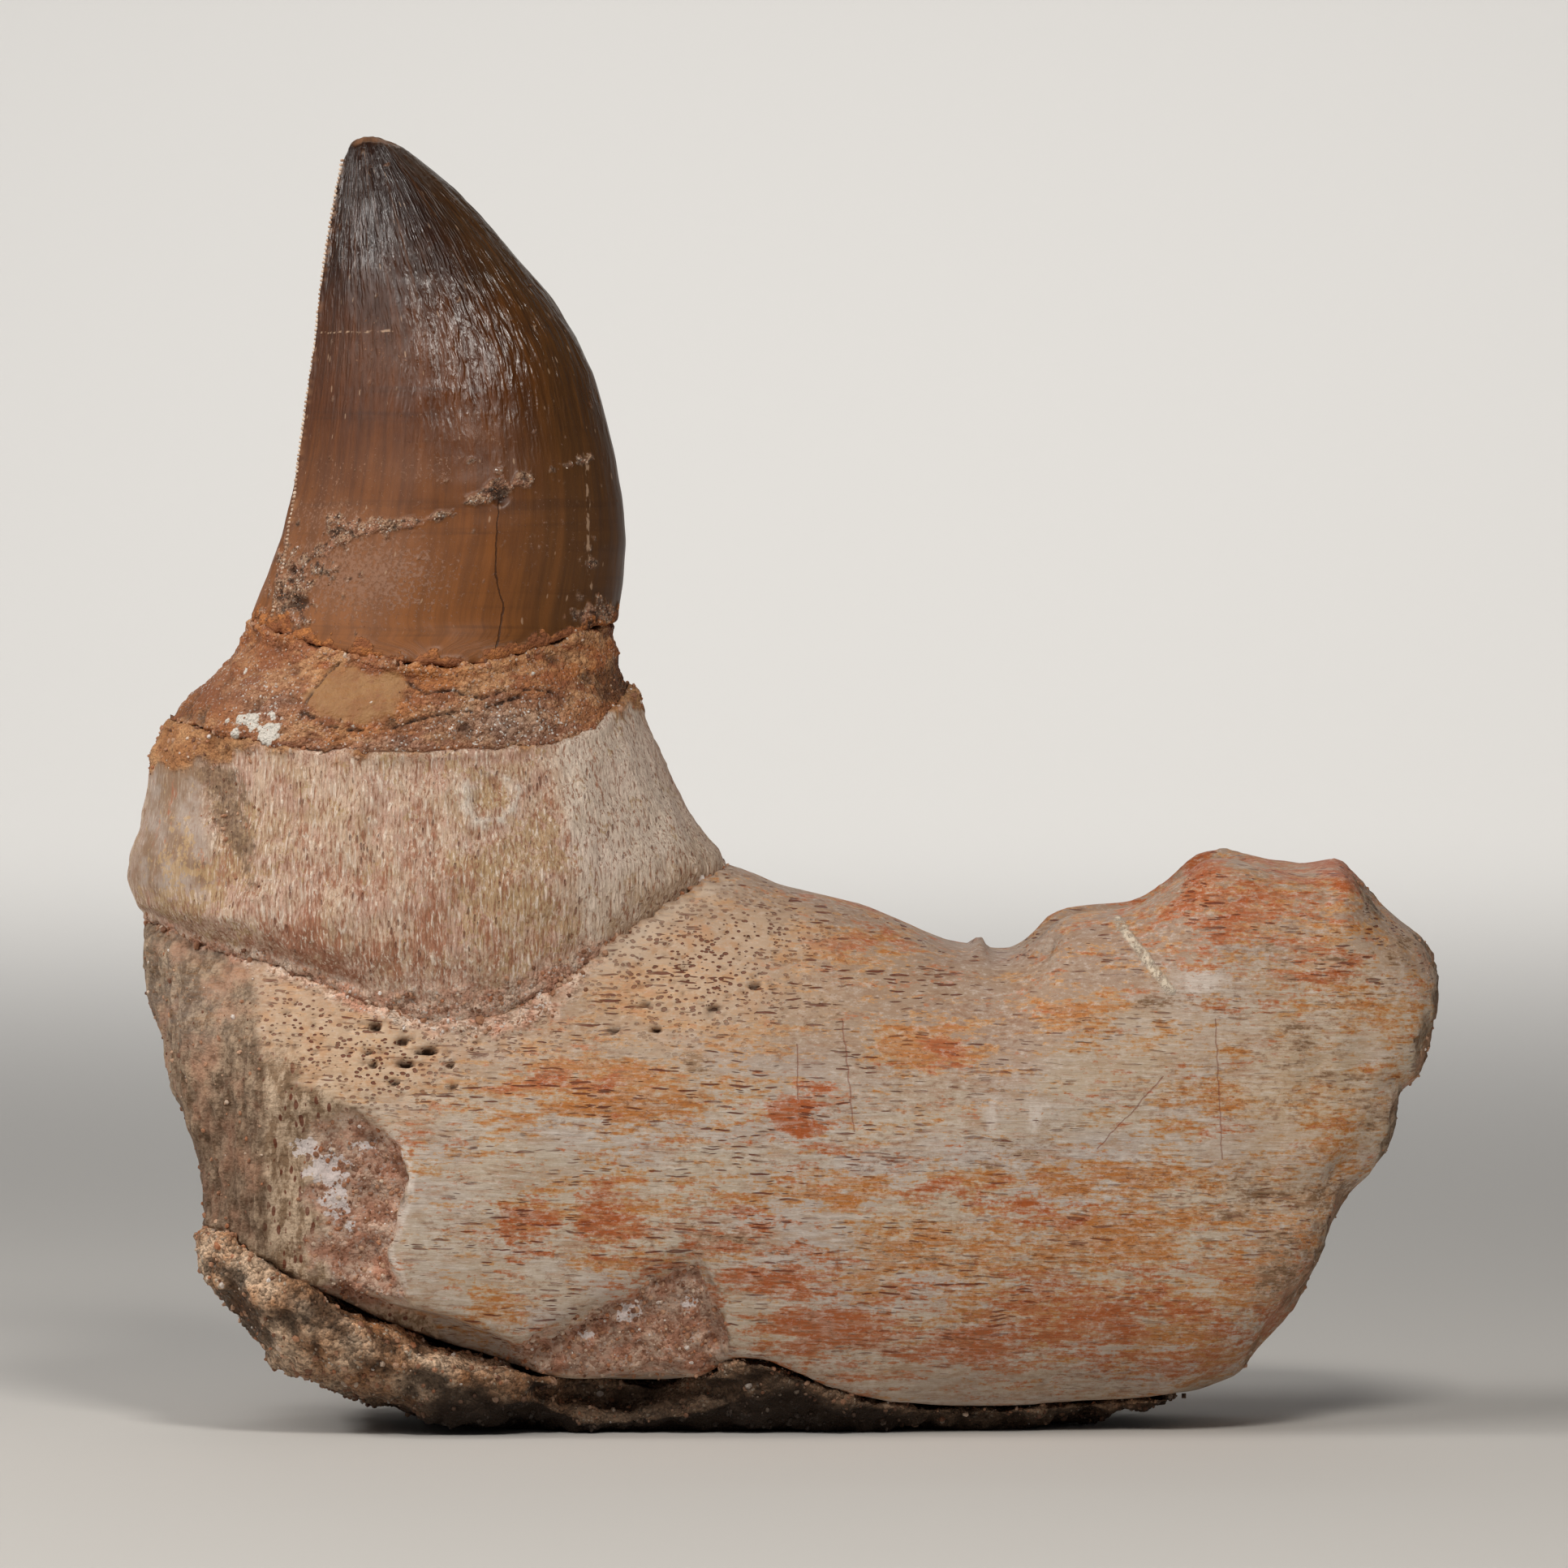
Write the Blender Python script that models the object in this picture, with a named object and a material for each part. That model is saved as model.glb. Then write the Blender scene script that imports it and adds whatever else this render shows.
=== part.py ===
"""Fossil jaw section of a large marine lizard, with one tooth standing in it.

The piece stands on a flat broken underside at z = 0, with the outer face of the jaw towards -Y and the
tooth at the -X end. Shapes are written in millimetres and scaled to metres as they are made.
"""

import math

import bmesh
import bpy
from mathutils import Vector, noise

MM = 0.001
SEAM = 0.3

# Heights where the tooth changes from root to collar to crown
ROOT_TIP_Z = 29.0
COLLAR_Z = 64.0
CROWN_Z = 73.0
CROWN_TIP_Z = 119.4

# Fineness of the lofted surfaces
TOOTH_SIDES = 44
ROOT_RINGS = 15
COLLAR_RINGS = 4
CROWN_RINGS = 17
JAW_SIDES = 112
JAW_STATIONS = 104
JAW_KEPT_SHARE = 0.17

# Outline of the tooth column as (z, edge) pairs: its left, right, front and back edges
COLUMN_LEFT = [
    (29, -36), (33, -39.5), (38, -44.5), (42, -50), (45.5, -56), (47.5, -59.2), (50, -60.4), (52.3, -60.3),
    (54.5, -59.9), (57, -59), (61.3, -58.4), (63.5, -57.8), (65.8, -56.1), (68, -53.9), (70.3, -51.2),
    (72.5, -50), (77, -48.3), (81.5, -46.5), (85.2, -45.2), (91.1, -43.9), (95, -43.3), (99.8, -42.6),
    (107, -41.8), (111.7, -41.1), (117, -40.4), (118.7, -39.9), (119.4, -39.1),
]
COLUMN_RIGHT = [
    (29, -24), (33, -20), (38, -15), (42, -11), (46, -7.6), (49.5, -5.2), (52.3, -4.6), (54.5, -6.8),
    (56.8, -8.5), (59, -9.8), (61.3, -10.8), (65.8, -12.8), (68, -13.7), (70.3, -15), (72.5, -15.5),
    (77, -14.8), (81.5, -14.4), (85.4, -14.7), (88.8, -15.2), (92.8, -16.2), (98.6, -17.9),
    (103.6, -20.9), (108.4, -24.8), (113.4, -29.3), (116.8, -33.2), (118.4, -35.3), (119.4, -37.4),
]
COLUMN_FRONT = [
    (29, -5), (33, -10.5), (38, -16.5), (42, -18.9), (46, -19.5), (52, -18.8), (60, -17.4), (66, -16),
    (70, -14.7), (72.5, -13.9), (80, -13.3), (88, -12.2), (98, -9.8), (106, -7), (112, -4), (116, -1.2),
    (118.4, 0.7), (119.4, 2),
]
COLUMN_BACK = [
    (29, 5), (33, 10), (38, 15), (42, 17.2), (46, 18), (52, 17.6), (60, 16.4), (66, 15.2), (70, 14),
    (72.5, 13.4), (80, 13.2), (88, 12.6), (98, 11.2), (106, 9.6), (112, 8), (116, 6.3), (118.4, 5),
    (119.4, 4),
]

# Cutting edge of the crown: where it runs round the column, in degrees from +X, by height
CARINA_ANGLE = [(72, 206), (78, 201), (84, 192), (90, 184), (98, 181), (120, 180)]
CARINA_RISE = 0.55
CARINA_SPREAD = 0.11

# Wavy edges between the tooth's three pieces, as (degrees from +X, lift) pairs round the column
CROWN_EDGE = [
    (0, 1.4), (90, 0.4), (180, 1.8), (215, 0.6), (250, -1.4), (280, -2.4), (310, -0.6), (335, 1.2),
    (360, 1.4),
]
COLLAR_EDGE = [
    (0, 4.0), (90, 0.0), (180, 1.0), (215, 0.4), (250, -1.2), (285, -1.2), (315, -0.2), (335, 2.6),
    (360, 4.0),
]

# Outline of the jaw as (x, edge) pairs
JAW_TOP = [
    (-59.5, 46.6), (-57, 47.4), (-48, 48.4), (-30, 49.8), (-14, 51.6), (-7, 52.3), (-4.6, 51.9), (-2, 51.1),
    (0.4, 50.1),
    (7.7, 47.9), (13.6, 45.6), (16, 44.7), (21.1, 44), (22.8, 45.2), (25.6, 47.7), (29, 48.3), (32, 48.8),
    (34.6, 50), (37.6, 52.2), (39.6, 53.3), (44.7, 52.7), (48, 52.3), (51.8, 52.9), (53.2, 51.4),
    (55.2, 49), (57.8, 46.6), (59.5, 45.2), (60.4, 42.8),
]
JAW_UNDERSIDE = [
    (-59.5, 43.6), (-58.9, 40.6), (-58, 36.5), (-56.7, 32), (-55.5, 28.5), (-54.7, 24), (-54.4, 19.5),
    (-53.5, 13), (-51.6, 9.6), (-48.7, 7.1), (-45, 5), (-41.9, 3.6), (-36.7, 1.6), (-31.4, 0.2),
    (-26, -0.9), (-18, -1.1), (3, -1), (20, -0.8), (27, 0.5), (34, 1.9), (37.4, 2.7), (41.5, 4.9),
    (44, 7.2), (45.8, 9.4), (47.6, 11.7), (49.9, 16.2), (51.2, 20.6), (53.6, 23.5), (56, 27.4), (57, 31),
    (58.5, 32), (59.9, 36.4), (60.4, 39.4),
]
JAW_FRONT = [
    (-59.5, 5), (-57, 9.5), (-54, 13.2), (-50, 17.4), (-47.5, 19.3), (-42, 19.8), (-30, 20), (-10, 19.8),
    (5, 19.2), (20, 18.2), (40, 16.4), (52, 15), (57, 13.2), (59.5, 11.2), (60.4, 9),
]
JAW_BACK = [
    (-59.5, 7), (-57, 10.8), (-53, 15.2), (-48, 18.6), (-42, 20.2), (-30, 20.5), (-10, 19.7), (5, 18.6),
    (20, 17.6), (40, 15.8), (50, 14), (56, 11), (59, 8.6), (60.4, 6),
]
UPPER_ROUNDNESS = [(-30, 2.3), (8, 2.3), (24, 3.2), (40, 3.8), (60, 4.2)]
LOWER_ROUNDNESS = [(-60, 3.6), (0, 3.3), (30, 3.3), (44, 4.6), (60, 5)]

# Where the outer layer of bone has flaked away in front, as (z, x) and (x, z) edges, and by how much
PLATE_EDGE = [
    (9, -31), (13, -34.2), (17.6, -36.2), (21.2, -34.8), (24.2, -34.2), (27.2, -35), (30, -38), (33, -44),
]
FLAKE_EDGE = [(-25, 7.5), (-20, 10.6), (-14, 13.6), (-7.8, 16.4), (-5.4, 11), (-4.4, 6)]
FLAKE_DEPTH = 1.8
END_FLAKE_EDGE = [(44, 36), (50, 34.4), (54, 33), (60, 31.4)]
NOTCH_LINE = [(60, 24.5), (52, 22.6), (46, 22.4), (38, 23.4)]
MECKEL_LINE = [(-50, 13), (-20, 15), (15, 16), (55, 25)]
SOCKET_PIT = (33.0, 1.5, 11.0, 6.5, 3.2)

# Top of the stone under the jaw, as (x, z) pairs at the front and at the back
STONE_TOP_FRONT = [
    (-64, 21), (-53.5, 20), (-47.5, 16.8), (-42.3, 14), (-34.8, 10.3), (-27.3, 7.6), (-22.8, 6.4),
    (-19.8, 5.4), (-7.8, 5.4), (-4.8, 7.4), (-0.3, 7), (3.5, 5), (9.5, 3.2), (20.7, 2.6), (30, 3),
    (38.7, 3.7), (42, 3.5), (66, 3),
]
STONE_TOP_BACK = [
    (-64, 14), (-50, 10.5), (-40, 7.4), (-28, 5.2), (0, 4.6), (20, 3.4), (40, 3.4), (66, 3),
]

# Crevice between the flaked bone and the stone: (x, y, z, radius) along it
CREVICE_PATH = [
    (-46, -20, 16.4, 0.5), (-41, -19.8, 13.8, 1.0), (-36, -19.6, 11.3, 1.5), (-31, -19.4, 9.6, 2.1),
    (-26, -19, 7.9, 1.8), (-21.5, -18.4, 6.4, 0.8),
]
CREVICE_SIDES = 12
HOLLOW_CENTRE = (-13.8, -18.0, 3.9)
HOLLOW_HALF_SIZE = (10.2, 8.0, 2.5)

# Colour, roughness: what each piece looks like close up
ENAMEL = ((0.145, 0.052, 0.016), 0.28)
SANDY_CEMENT = ((0.36, 0.17, 0.07), 0.85)
ROOT_BONE = ((0.50, 0.38, 0.29), 0.7)
JAW_BONE = ((0.47, 0.37, 0.27), 0.68)
PHOSPHATE_STONE = ((0.27, 0.16, 0.09), 0.9)


def curve(points, at):
    """Value at one place of the smooth curve through (place, value) points, held level past its ends."""
    if at <= points[0][0]:
        return points[0][1]
    if at >= points[-1][0]:
        return points[-1][1]
    last = len(points) - 1
    i = max(k for k in range(last) if points[k][0] <= at)

    def slope(k):
        before, after = points[max(k - 1, 0)], points[min(k + 1, last)]
        return (after[1] - before[1]) / (after[0] - before[0])

    (x0, y0), (x1, y1) = points[i], points[i + 1]
    width = x1 - x0
    t = (at - x0) / width
    bend0, bend1 = slope(i) * width, slope(i + 1) * width
    return (
        y0 * (1 + 2 * t) * (1 - t) ** 2
        + bend0 * t * (1 - t) ** 2
        + y1 * t * t * (3 - 2 * t)
        - bend1 * t * t * (1 - t)
    )


def step(low, high, at):
    """0 below low, 1 above high, and a smooth rise between."""
    t = min(1.0, max(0.0, (at - low) / (high - low)))
    return t * t * (3 - 2 * t)


def distance_to_line(point, line):
    """Distance in the plane from a point to a line through several points."""
    place = Vector(point)
    nearest = 1e9
    for start, end in zip(line, line[1:]):
        a, b = Vector(start), Vector(end)
        along = min(1.0, max(0.0, (place - a).dot(b - a) / (b - a).length_squared))
        nearest = min(nearest, (place - a.lerp(b, along)).length)
    return nearest


def lumps(place, size, seed):
    """Rounded unevenness from about -1 to 1, with lumps of one size and smaller ones on them."""
    return noise.fractal((place + Vector((seed, 0, 0))) / size, 0.9, 2.0, 4, noise_basis="PERLIN_ORIGINAL")


def plain_material(name, look):
    """One finish: a colour and how rough it is."""
    colour, roughness = look
    material = bpy.data.materials.new(name)
    material.use_nodes = True
    shader = material.node_tree.nodes["Principled BSDF"]
    shader.inputs["Base Color"].default_value = (*colour, 1)
    shader.inputs["Roughness"].default_value = roughness
    shader.inputs["Metallic"].default_value = 0
    return material


def object_from(bm, name):
    """A linked object holding the finished bmesh."""
    mesh = bpy.data.meshes.new(name)
    bm.to_mesh(mesh)
    bm.free()
    made = bpy.data.objects.new(name, mesh)
    bpy.context.collection.objects.link(made)
    return made


def lofted(name, rings):
    """Closed object through rings of points in millimetres, with a shallow fan over each end."""
    bm = bmesh.new()
    rows = [[bm.verts.new(point * MM) for point in ring] for ring in rings]
    sides = len(rings[0])
    for lower, upper in zip(rows, rows[1:]):
        for i in range(sides):
            j = (i + 1) % sides
            bm.faces.new((lower[i], lower[j], upper[j], upper[i]))
    for ring, row in ((rings[0], rows[0]), (rings[-1], rows[-1])):
        middle = bm.verts.new(sum(ring, Vector()) / sides * MM)
        for i in range(sides):
            bm.faces.new((row[i], row[(i + 1) % sides], middle))
    bmesh.ops.recalc_face_normals(bm, faces=bm.faces)
    return object_from(bm, name)


def finished(made, look):
    """Gives a piece its material, with smooth faces that stay crisp at broken edges."""
    made.data.materials.append(plain_material(made.name, look))
    made.data.shade_smooth()
    made.data.set_sharp_from_angle(angle=math.radians(38))
    return made


def as_cutter(made):
    """Marks an object that only shapes others."""
    made.hide_render = True
    made.display_type = "WIRE"
    return made


def add_boolean(made, operation, other, solver="EXACT"):
    modifier = made.modifiers.new(f"{operation.lower()} {other.name}", "BOOLEAN")
    modifier.operation = operation
    modifier.solver = solver
    modifier.object = other


def column_point(z, angle):
    """Point on the skin of the tooth column, root or crown, at one height and one way round."""
    left, right = curve(COLUMN_LEFT, z), curve(COLUMN_RIGHT, z)
    across, outward = math.cos(angle), math.sin(angle)
    in_crown = step(CROWN_Z - 2, CROWN_Z + 8, z)
    sharpness = 1 + in_crown * (0.28 if across < 0 else 0.12) * abs(across)
    front, back = curve(COLUMN_FRONT, z), curve(COLUMN_BACK, z)
    middle_y = (front + back) / 2 * step(90, 112, z)
    reach = (back - middle_y) if outward > 0 else (middle_y - front)
    x = (left + right) / 2 + (right - left) / 2 * across
    y = middle_y + math.copysign(reach * abs(outward) ** sharpness, outward)
    # The cutting edge stands a little proud of the crown
    turn = (angle - math.radians(curve(CARINA_ANGLE, z)) + math.pi) % (2 * math.pi) - math.pi
    rise = CARINA_RISE * in_crown * (1 - step(112, 119, z)) * math.exp(-((turn / CARINA_SPREAD) ** 2))
    return Vector((x + rise * across, y + rise * outward, z))


def root_relief(point, angle):
    """Dents and swellings of the root: a groove behind its left lobe, and a soft ridge on its right."""
    if math.sin(angle) > 0:
        return 0.5 * lumps(point, 14, 40)
    height = step(46, 51, point.z) * (1 - step(60, 65, point.z))
    groove = -1.3 * math.exp(-(((point.x + 51.5) / 1.9) ** 2)) * height
    ridge = 0.7 * math.exp(-(((point.x + 20.5) / 3.5) ** 2)) * height
    return groove + ridge + 0.3 * lumps(point, 11, 7)


def tooth_ring(low, high, share):
    """One ring of the column between two heights, each given as a height and a wavy edge round it."""
    ring = []
    for i in range(TOOTH_SIDES):
        angle = 2 * math.pi * i / TOOTH_SIDES
        degrees = math.degrees(angle)
        bottom = low[0] + (curve(low[1], degrees) if low[1] else 0)
        top = high[0] + (curve(high[1], degrees) if high[1] else 0)
        ring.append((column_point(bottom + (top - bottom) * share, angle), angle))
    return ring


def swollen(ring, amount):
    """The ring's points moved outwards, level, from the middle of the ring by an amount for each."""
    middle = sum((point for point, _ in ring), Vector()) / len(ring)
    moved = []
    for point, angle in ring:
        outward = Vector((point.x - middle.x, point.y - middle.y, 0)).normalized()
        moved.append(point + outward * amount(point, angle))
    return moved


def root_rings(growth):
    """Rings of the root from its buried tip to the collar, made larger all round by an even growth."""
    rings = []
    for k in range(ROOT_RINGS):
        share = (k / (ROOT_RINGS - 1)) ** 0.9
        ring = tooth_ring((ROOT_TIP_Z, None), (COLLAR_Z, COLLAR_EDGE), share)
        rings.append(swollen(ring, lambda point, angle: root_relief(point, angle) + growth))
    for point in rings[0]:
        point.z -= growth
    return rings


def make_tooth_root():
    """The swollen root: buried and tapering below, open to view above, under the collar."""
    return finished(lofted("tooth_root", root_rings(0)), ROOT_BONE)


def root_seat_cutter():
    """The root a little larger all round, to cut its socket in the jaw with an even gap."""
    return as_cutter(lofted("root_seat_cutter", root_rings(SEAM)))


def make_neck_collar():
    """Sandy cement round the neck, lapping a little over the root and drawn in under the crown."""
    rings = []
    low, high = (COLLAR_Z + SEAM, COLLAR_EDGE), (CROWN_Z - SEAM, CROWN_EDGE)
    for k in range(COLLAR_RINGS + 1):
        share = k / COLLAR_RINGS
        fullness = 0.35 * math.sin(math.pi * min(1.0, share + 0.25)) - 0.35 * step(0.6, 1.0, share)

        def amount(point, angle, fullness=fullness):
            return fullness + 0.35 * lumps(point, 5, 91)

        rings.append(swollen(tooth_ring(low, high, share), amount))
    return finished(lofted("neck_collar", rings), SANDY_CEMENT)


def make_tooth_crown():
    """The enamel crown, curved back to a worn tip, with a cutting edge down its left side."""
    rings = []
    for k in range(CROWN_RINGS + 1):
        share = math.sin(math.pi / 2 * k / CROWN_RINGS) ** 1.05
        ring = tooth_ring((CROWN_Z, CROWN_EDGE), (CROWN_TIP_Z, None), share)
        rings.append([point for point, _ in ring])
    return finished(lofted("tooth_crown", rings), ENAMEL)


def jaw_point(x, angle):
    """Point on the jaw's skin at one place along it, going round from the back over the top."""
    top, bottom = curve(JAW_TOP, x), curve(JAW_UNDERSIDE, x)
    front, back = curve(JAW_FRONT, x), curve(JAW_BACK, x)
    outward, upward = math.cos(angle), math.sin(angle)
    power = 2 / curve(UPPER_ROUNDNESS if upward > 0 else LOWER_ROUNDNESS, x)
    y = math.copysign(abs(outward) ** power, outward) * (back if outward > 0 else front)
    z = (top + bottom) / 2 + (top - bottom) / 2 * math.copysign(abs(upward) ** power, upward)
    return Vector((x, y, z))


def flaked(x, z):
    """1 where the outer layer of bone is missing at the front, 0 where it is whole."""
    left_of_plate = 1 - step(-1.0, 1.0, x - curve(PLATE_EDGE, z))
    left_patch = left_of_plate * step(13, 16, z) * (1 - step(28, 31, z)) * step(-48, -45.5, x)
    under_flake = (1 - step(-1.0, 1.0, z - curve(FLAKE_EDGE, x))) * step(4, 6, z)
    under_flake *= step(-26, -23.5, x) * (1 - step(-6, -3.6, x))
    return max(left_patch, under_flake)


def stone_bulge(x, z):
    """1 where the stone swells out below the flaked bone at the front left, 0 elsewhere."""
    below = step(0.2, 2.4, curve(STONE_TOP_FRONT, x) - z)
    return below * (1 - step(-30, -22, x)) * step(0, 3, z)


def broken_face(point, normal):
    """1 on the rough broken ends, underside and top right corner of the jaw, 0 on its smooth skin."""
    x, _, z = point
    ends = step(0.45, 0.8, abs(normal.x))
    underside = 1 - step(1, 9, z - curve(JAW_UNDERSIDE, x))
    corner = step(36, 44, x) * step(44, 50, z)
    return max(ends, underside, corner)


def jaw_relief(point, normal):
    """How far the jaw's skin stands out or in: flaked patches, notch, canal, pit, and rough broken ends."""
    x, y, z = point
    facing_front = step(0.2, 0.6, -normal.y)
    facing_back = step(0.2, 0.6, normal.y)
    broken = broken_face(point, normal)
    height = 0.5 * lumps(point, 24, 12) + (0.15 + 0.65 * broken) * lumps(point, 9, 3)
    height += broken * (0.5 * lumps(point, 4.5, 17) - 0.45)
    height += facing_front * flaked(x, z) * (0.8 * lumps(point, 5, 60) - FLAKE_DEPTH)
    height += facing_front * stone_bulge(x, z) * (1.5 + 0.6 * lumps(point, 5, 33))
    under_end = (1 - step(-0.8, 0.8, z - curve(END_FLAKE_EDGE, x))) * step(42, 50, x) * step(24, 28, z)
    height -= facing_front * 1.2 * under_end
    notch = distance_to_line((x, z), NOTCH_LINE)
    height -= facing_front * 1.7 * math.exp(-((notch / 2.4) ** 2)) * step(36, 50, x)
    height -= facing_back * 2.4 * math.exp(-((distance_to_line((x, z), MECKEL_LINE) / 4.2) ** 2))
    pit_x, pit_y, long_half, short_half, depth = SOCKET_PIT
    spread = ((x - pit_x) / long_half) ** 2 + ((y - pit_y) / short_half) ** 2
    height -= step(0.3, 0.8, normal.z) * depth * (1 - step(0.35, 1.1, spread))
    return height


def jaw_block():
    """Jaw and the stone under it as one fine mesh, with all their relief."""
    first, last = JAW_TOP[0][0], JAW_TOP[-1][0]
    rings = []
    for k in range(JAW_STATIONS):
        share = k / (JAW_STATIONS - 1)
        # Stations crowd towards both ends, where the outline turns
        crowded = (1 - math.cos(math.pi * share)) / 2
        x = first + (last - first) * (0.55 * share + 0.45 * crowded)
        rings.append([jaw_point(x, 2 * math.pi * i / JAW_SIDES) for i in range(JAW_SIDES)])
    block = lofted("jaw_block", rings)
    normals = [vertex.normal.copy() for vertex in block.data.vertices]
    for vertex, normal in zip(block.data.vertices, normals):
        point = vertex.co / MM
        vertex.co = (point + normal * jaw_relief(point, normal)) * MM
    return block.data


def stone_splitter(name, lift):
    """A slab whose top is the uneven face between jaw and stone, moved up or down a little."""
    rings = []
    stations = 46
    for k in range(stations):
        x = -66 + 132 * k / (stations - 1)
        ring = [Vector((x, -30, -12)), Vector((x, 30, -12))]
        for y in (30, 18, 9, 0, -9, -18, -30):
            share = step(-16, 12, y)
            z = curve(STONE_TOP_FRONT, x) * (1 - share) + curve(STONE_TOP_BACK, x) * share
            z += 0.35 * lumps(Vector((x, y, 0)), 9, 25) + lift
            ring.append(Vector((x, y, z)))
        rings.append(ring)
    return as_cutter(lofted(name, rings))


def crevice_cutter():
    """A tapering, winding rod that opens the crevice under the flaked bone."""
    rings = []
    for x, y, z, radius in CREVICE_PATH:
        ring = []
        for i in range(CREVICE_SIDES):
            angle = 2 * math.pi * i / CREVICE_SIDES
            out, up = math.cos(angle), math.sin(angle)
            ring.append(Vector((x + 0.5 * up, y + 2.6 * radius * out, z + radius * up)))
        rings.append(ring)
    return as_cutter(lofted("crevice_cutter", rings))


def hollow_cutter():
    """A lumpy flattened ball that hollows the stone under the flaked bone."""
    bm = bmesh.new()
    bmesh.ops.create_icosphere(bm, subdivisions=3, radius=1)
    centre = Vector(HOLLOW_CENTRE)
    for vertex in bm.verts:
        way = vertex.co.copy()
        fullness = 1 + 0.22 * lumps(way * 8, 6, 5)
        vertex.co = (centre + Vector(w * h * fullness for w, h in zip(way, HOLLOW_HALF_SIZE))) * MM
    return as_cutter(object_from(bm, "hollow_cutter"))


def ground_cutter():
    """Everything below z = 0, so that the underside is cut flat."""
    bm = bmesh.new()
    bmesh.ops.create_cube(bm, size=1)
    for vertex in bm.verts:
        vertex.co = Vector((vertex.co.x * 160, vertex.co.y * 80, vertex.co.z * 20 - 10)) * MM
    return as_cutter(object_from(bm, "ground_cutter"))


def piece_of_block(name, mesh):
    """An object made of the fine block, thinned to the facets that its shape needs."""
    made = bpy.data.objects.new(name, mesh)
    bpy.context.collection.objects.link(made)
    thinning = made.modifiers.new("fewer facets", "DECIMATE")
    thinning.ratio = JAW_KEPT_SHARE
    return made


def make_jaw_and_stone():
    """The jaw bone and the stone under it, parted along one uneven face."""
    block = jaw_block()
    bpy.data.objects.remove(bpy.data.objects["jaw_block"])
    crevice, hollow, ground = crevice_cutter(), hollow_cutter(), ground_cutter()
    jaw = piece_of_block("jaw_bone", block)
    add_boolean(jaw, "DIFFERENCE", stone_splitter("above_stone", SEAM / 2))
    add_boolean(jaw, "DIFFERENCE", root_seat_cutter(), solver="MANIFOLD")
    stone = piece_of_block("base_stone", block.copy())
    add_boolean(stone, "INTERSECT", stone_splitter("below_bone", -SEAM / 2))
    add_boolean(stone, "DIFFERENCE", ground)
    for made in (jaw, stone):
        add_boolean(made, "DIFFERENCE", crevice)
        add_boolean(made, "DIFFERENCE", hollow)
    finished(jaw, JAW_BONE)
    finished(stone, PHOSPHATE_STONE)


def main():
    for old in list(bpy.data.objects):
        bpy.data.objects.remove(old)
    make_tooth_root()
    make_neck_collar()
    make_tooth_crown()
    make_jaw_and_stone()


main()
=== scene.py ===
"""A section of fossil jaw bone with one tooth standing in it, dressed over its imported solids.

The sections follow the piece from the ground up: the host stone, the jaw, the tooth's root, the cement
round its neck, the enamel crown, and the loose grains that cling to them all. Sizes are in millimetres.
"""

import math

import bmesh
import bpy
import numpy as np
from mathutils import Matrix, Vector, noise
from mathutils.bvhtree import BVHTree


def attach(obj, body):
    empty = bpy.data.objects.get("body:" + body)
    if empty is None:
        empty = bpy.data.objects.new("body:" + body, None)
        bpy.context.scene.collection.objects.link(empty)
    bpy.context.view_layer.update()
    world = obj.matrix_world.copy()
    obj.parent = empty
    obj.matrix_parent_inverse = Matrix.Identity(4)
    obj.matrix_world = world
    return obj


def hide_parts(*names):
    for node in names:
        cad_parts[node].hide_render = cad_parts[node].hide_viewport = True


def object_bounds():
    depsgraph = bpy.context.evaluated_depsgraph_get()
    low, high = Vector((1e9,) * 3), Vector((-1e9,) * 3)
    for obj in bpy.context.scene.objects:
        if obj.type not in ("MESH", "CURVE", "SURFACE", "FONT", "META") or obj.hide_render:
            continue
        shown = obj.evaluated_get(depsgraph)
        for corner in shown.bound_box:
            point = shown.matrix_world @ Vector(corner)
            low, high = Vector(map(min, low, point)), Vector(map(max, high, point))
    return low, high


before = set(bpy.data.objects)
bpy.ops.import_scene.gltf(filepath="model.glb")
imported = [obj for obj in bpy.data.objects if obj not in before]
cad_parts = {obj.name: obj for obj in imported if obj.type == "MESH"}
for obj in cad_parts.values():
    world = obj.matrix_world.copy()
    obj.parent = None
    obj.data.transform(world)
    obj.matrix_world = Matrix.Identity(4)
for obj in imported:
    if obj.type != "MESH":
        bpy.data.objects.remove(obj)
cad_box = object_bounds()
MM = 0.001


# Host stone
# The phosphate rock the jaw was buried in, broken off so that a rough remnant is left under the bone.
# It is sand and small bone crumbs set hard: lumpy, open-grained, and cut level underneath so it stands.

STONE_CELL = 0.42
STONE_LUMPS = [(6.5, 0.6), (2.4, 0.42), (1.0, 0.26)]
STONE_BROWN = (0.64, 0.33, 0.165)
STONE_TAN = (0.94, 0.67, 0.46)
STONE_RUST = (0.60, 0.27, 0.11)
STONE_GREY = (0.36, 0.225, 0.14)
# Colour of the darkest grains, also used as painted shade in low places and underneath
DARK_GRAIN_AND_SHADE = (0.028, 0.015, 0.008)
BONE_CRUMB = (0.62, 0.50, 0.38)


def fine_copy(node, name, cell, softened):
    """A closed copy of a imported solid, re-skinned in even faces, with its facets softened away."""
    bm = bmesh.new()
    bm.from_mesh(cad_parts[node].data)
    bmesh.ops.remove_doubles(bm, verts=bm.verts, dist=0.002 * MM)
    solid = bpy.data.meshes.new(name)
    bm.to_mesh(solid)
    bm.free()
    piece = bpy.data.objects.new(name, solid)
    bpy.context.scene.collection.objects.link(piece)
    skin = piece.modifiers.new("even skin", "REMESH")
    skin.mode = "VOXEL"
    skin.voxel_size = cell * MM
    soften = piece.modifiers.new("softened facets", "SMOOTH")
    soften.factor = 0.5
    soften.iterations = softened
    seen = piece.evaluated_get(bpy.context.evaluated_depsgraph_get())
    fine = bpy.data.meshes.new_from_object(seen)
    piece.modifiers.clear()
    piece.data = fine
    fine.materials.clear()
    return piece


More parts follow.
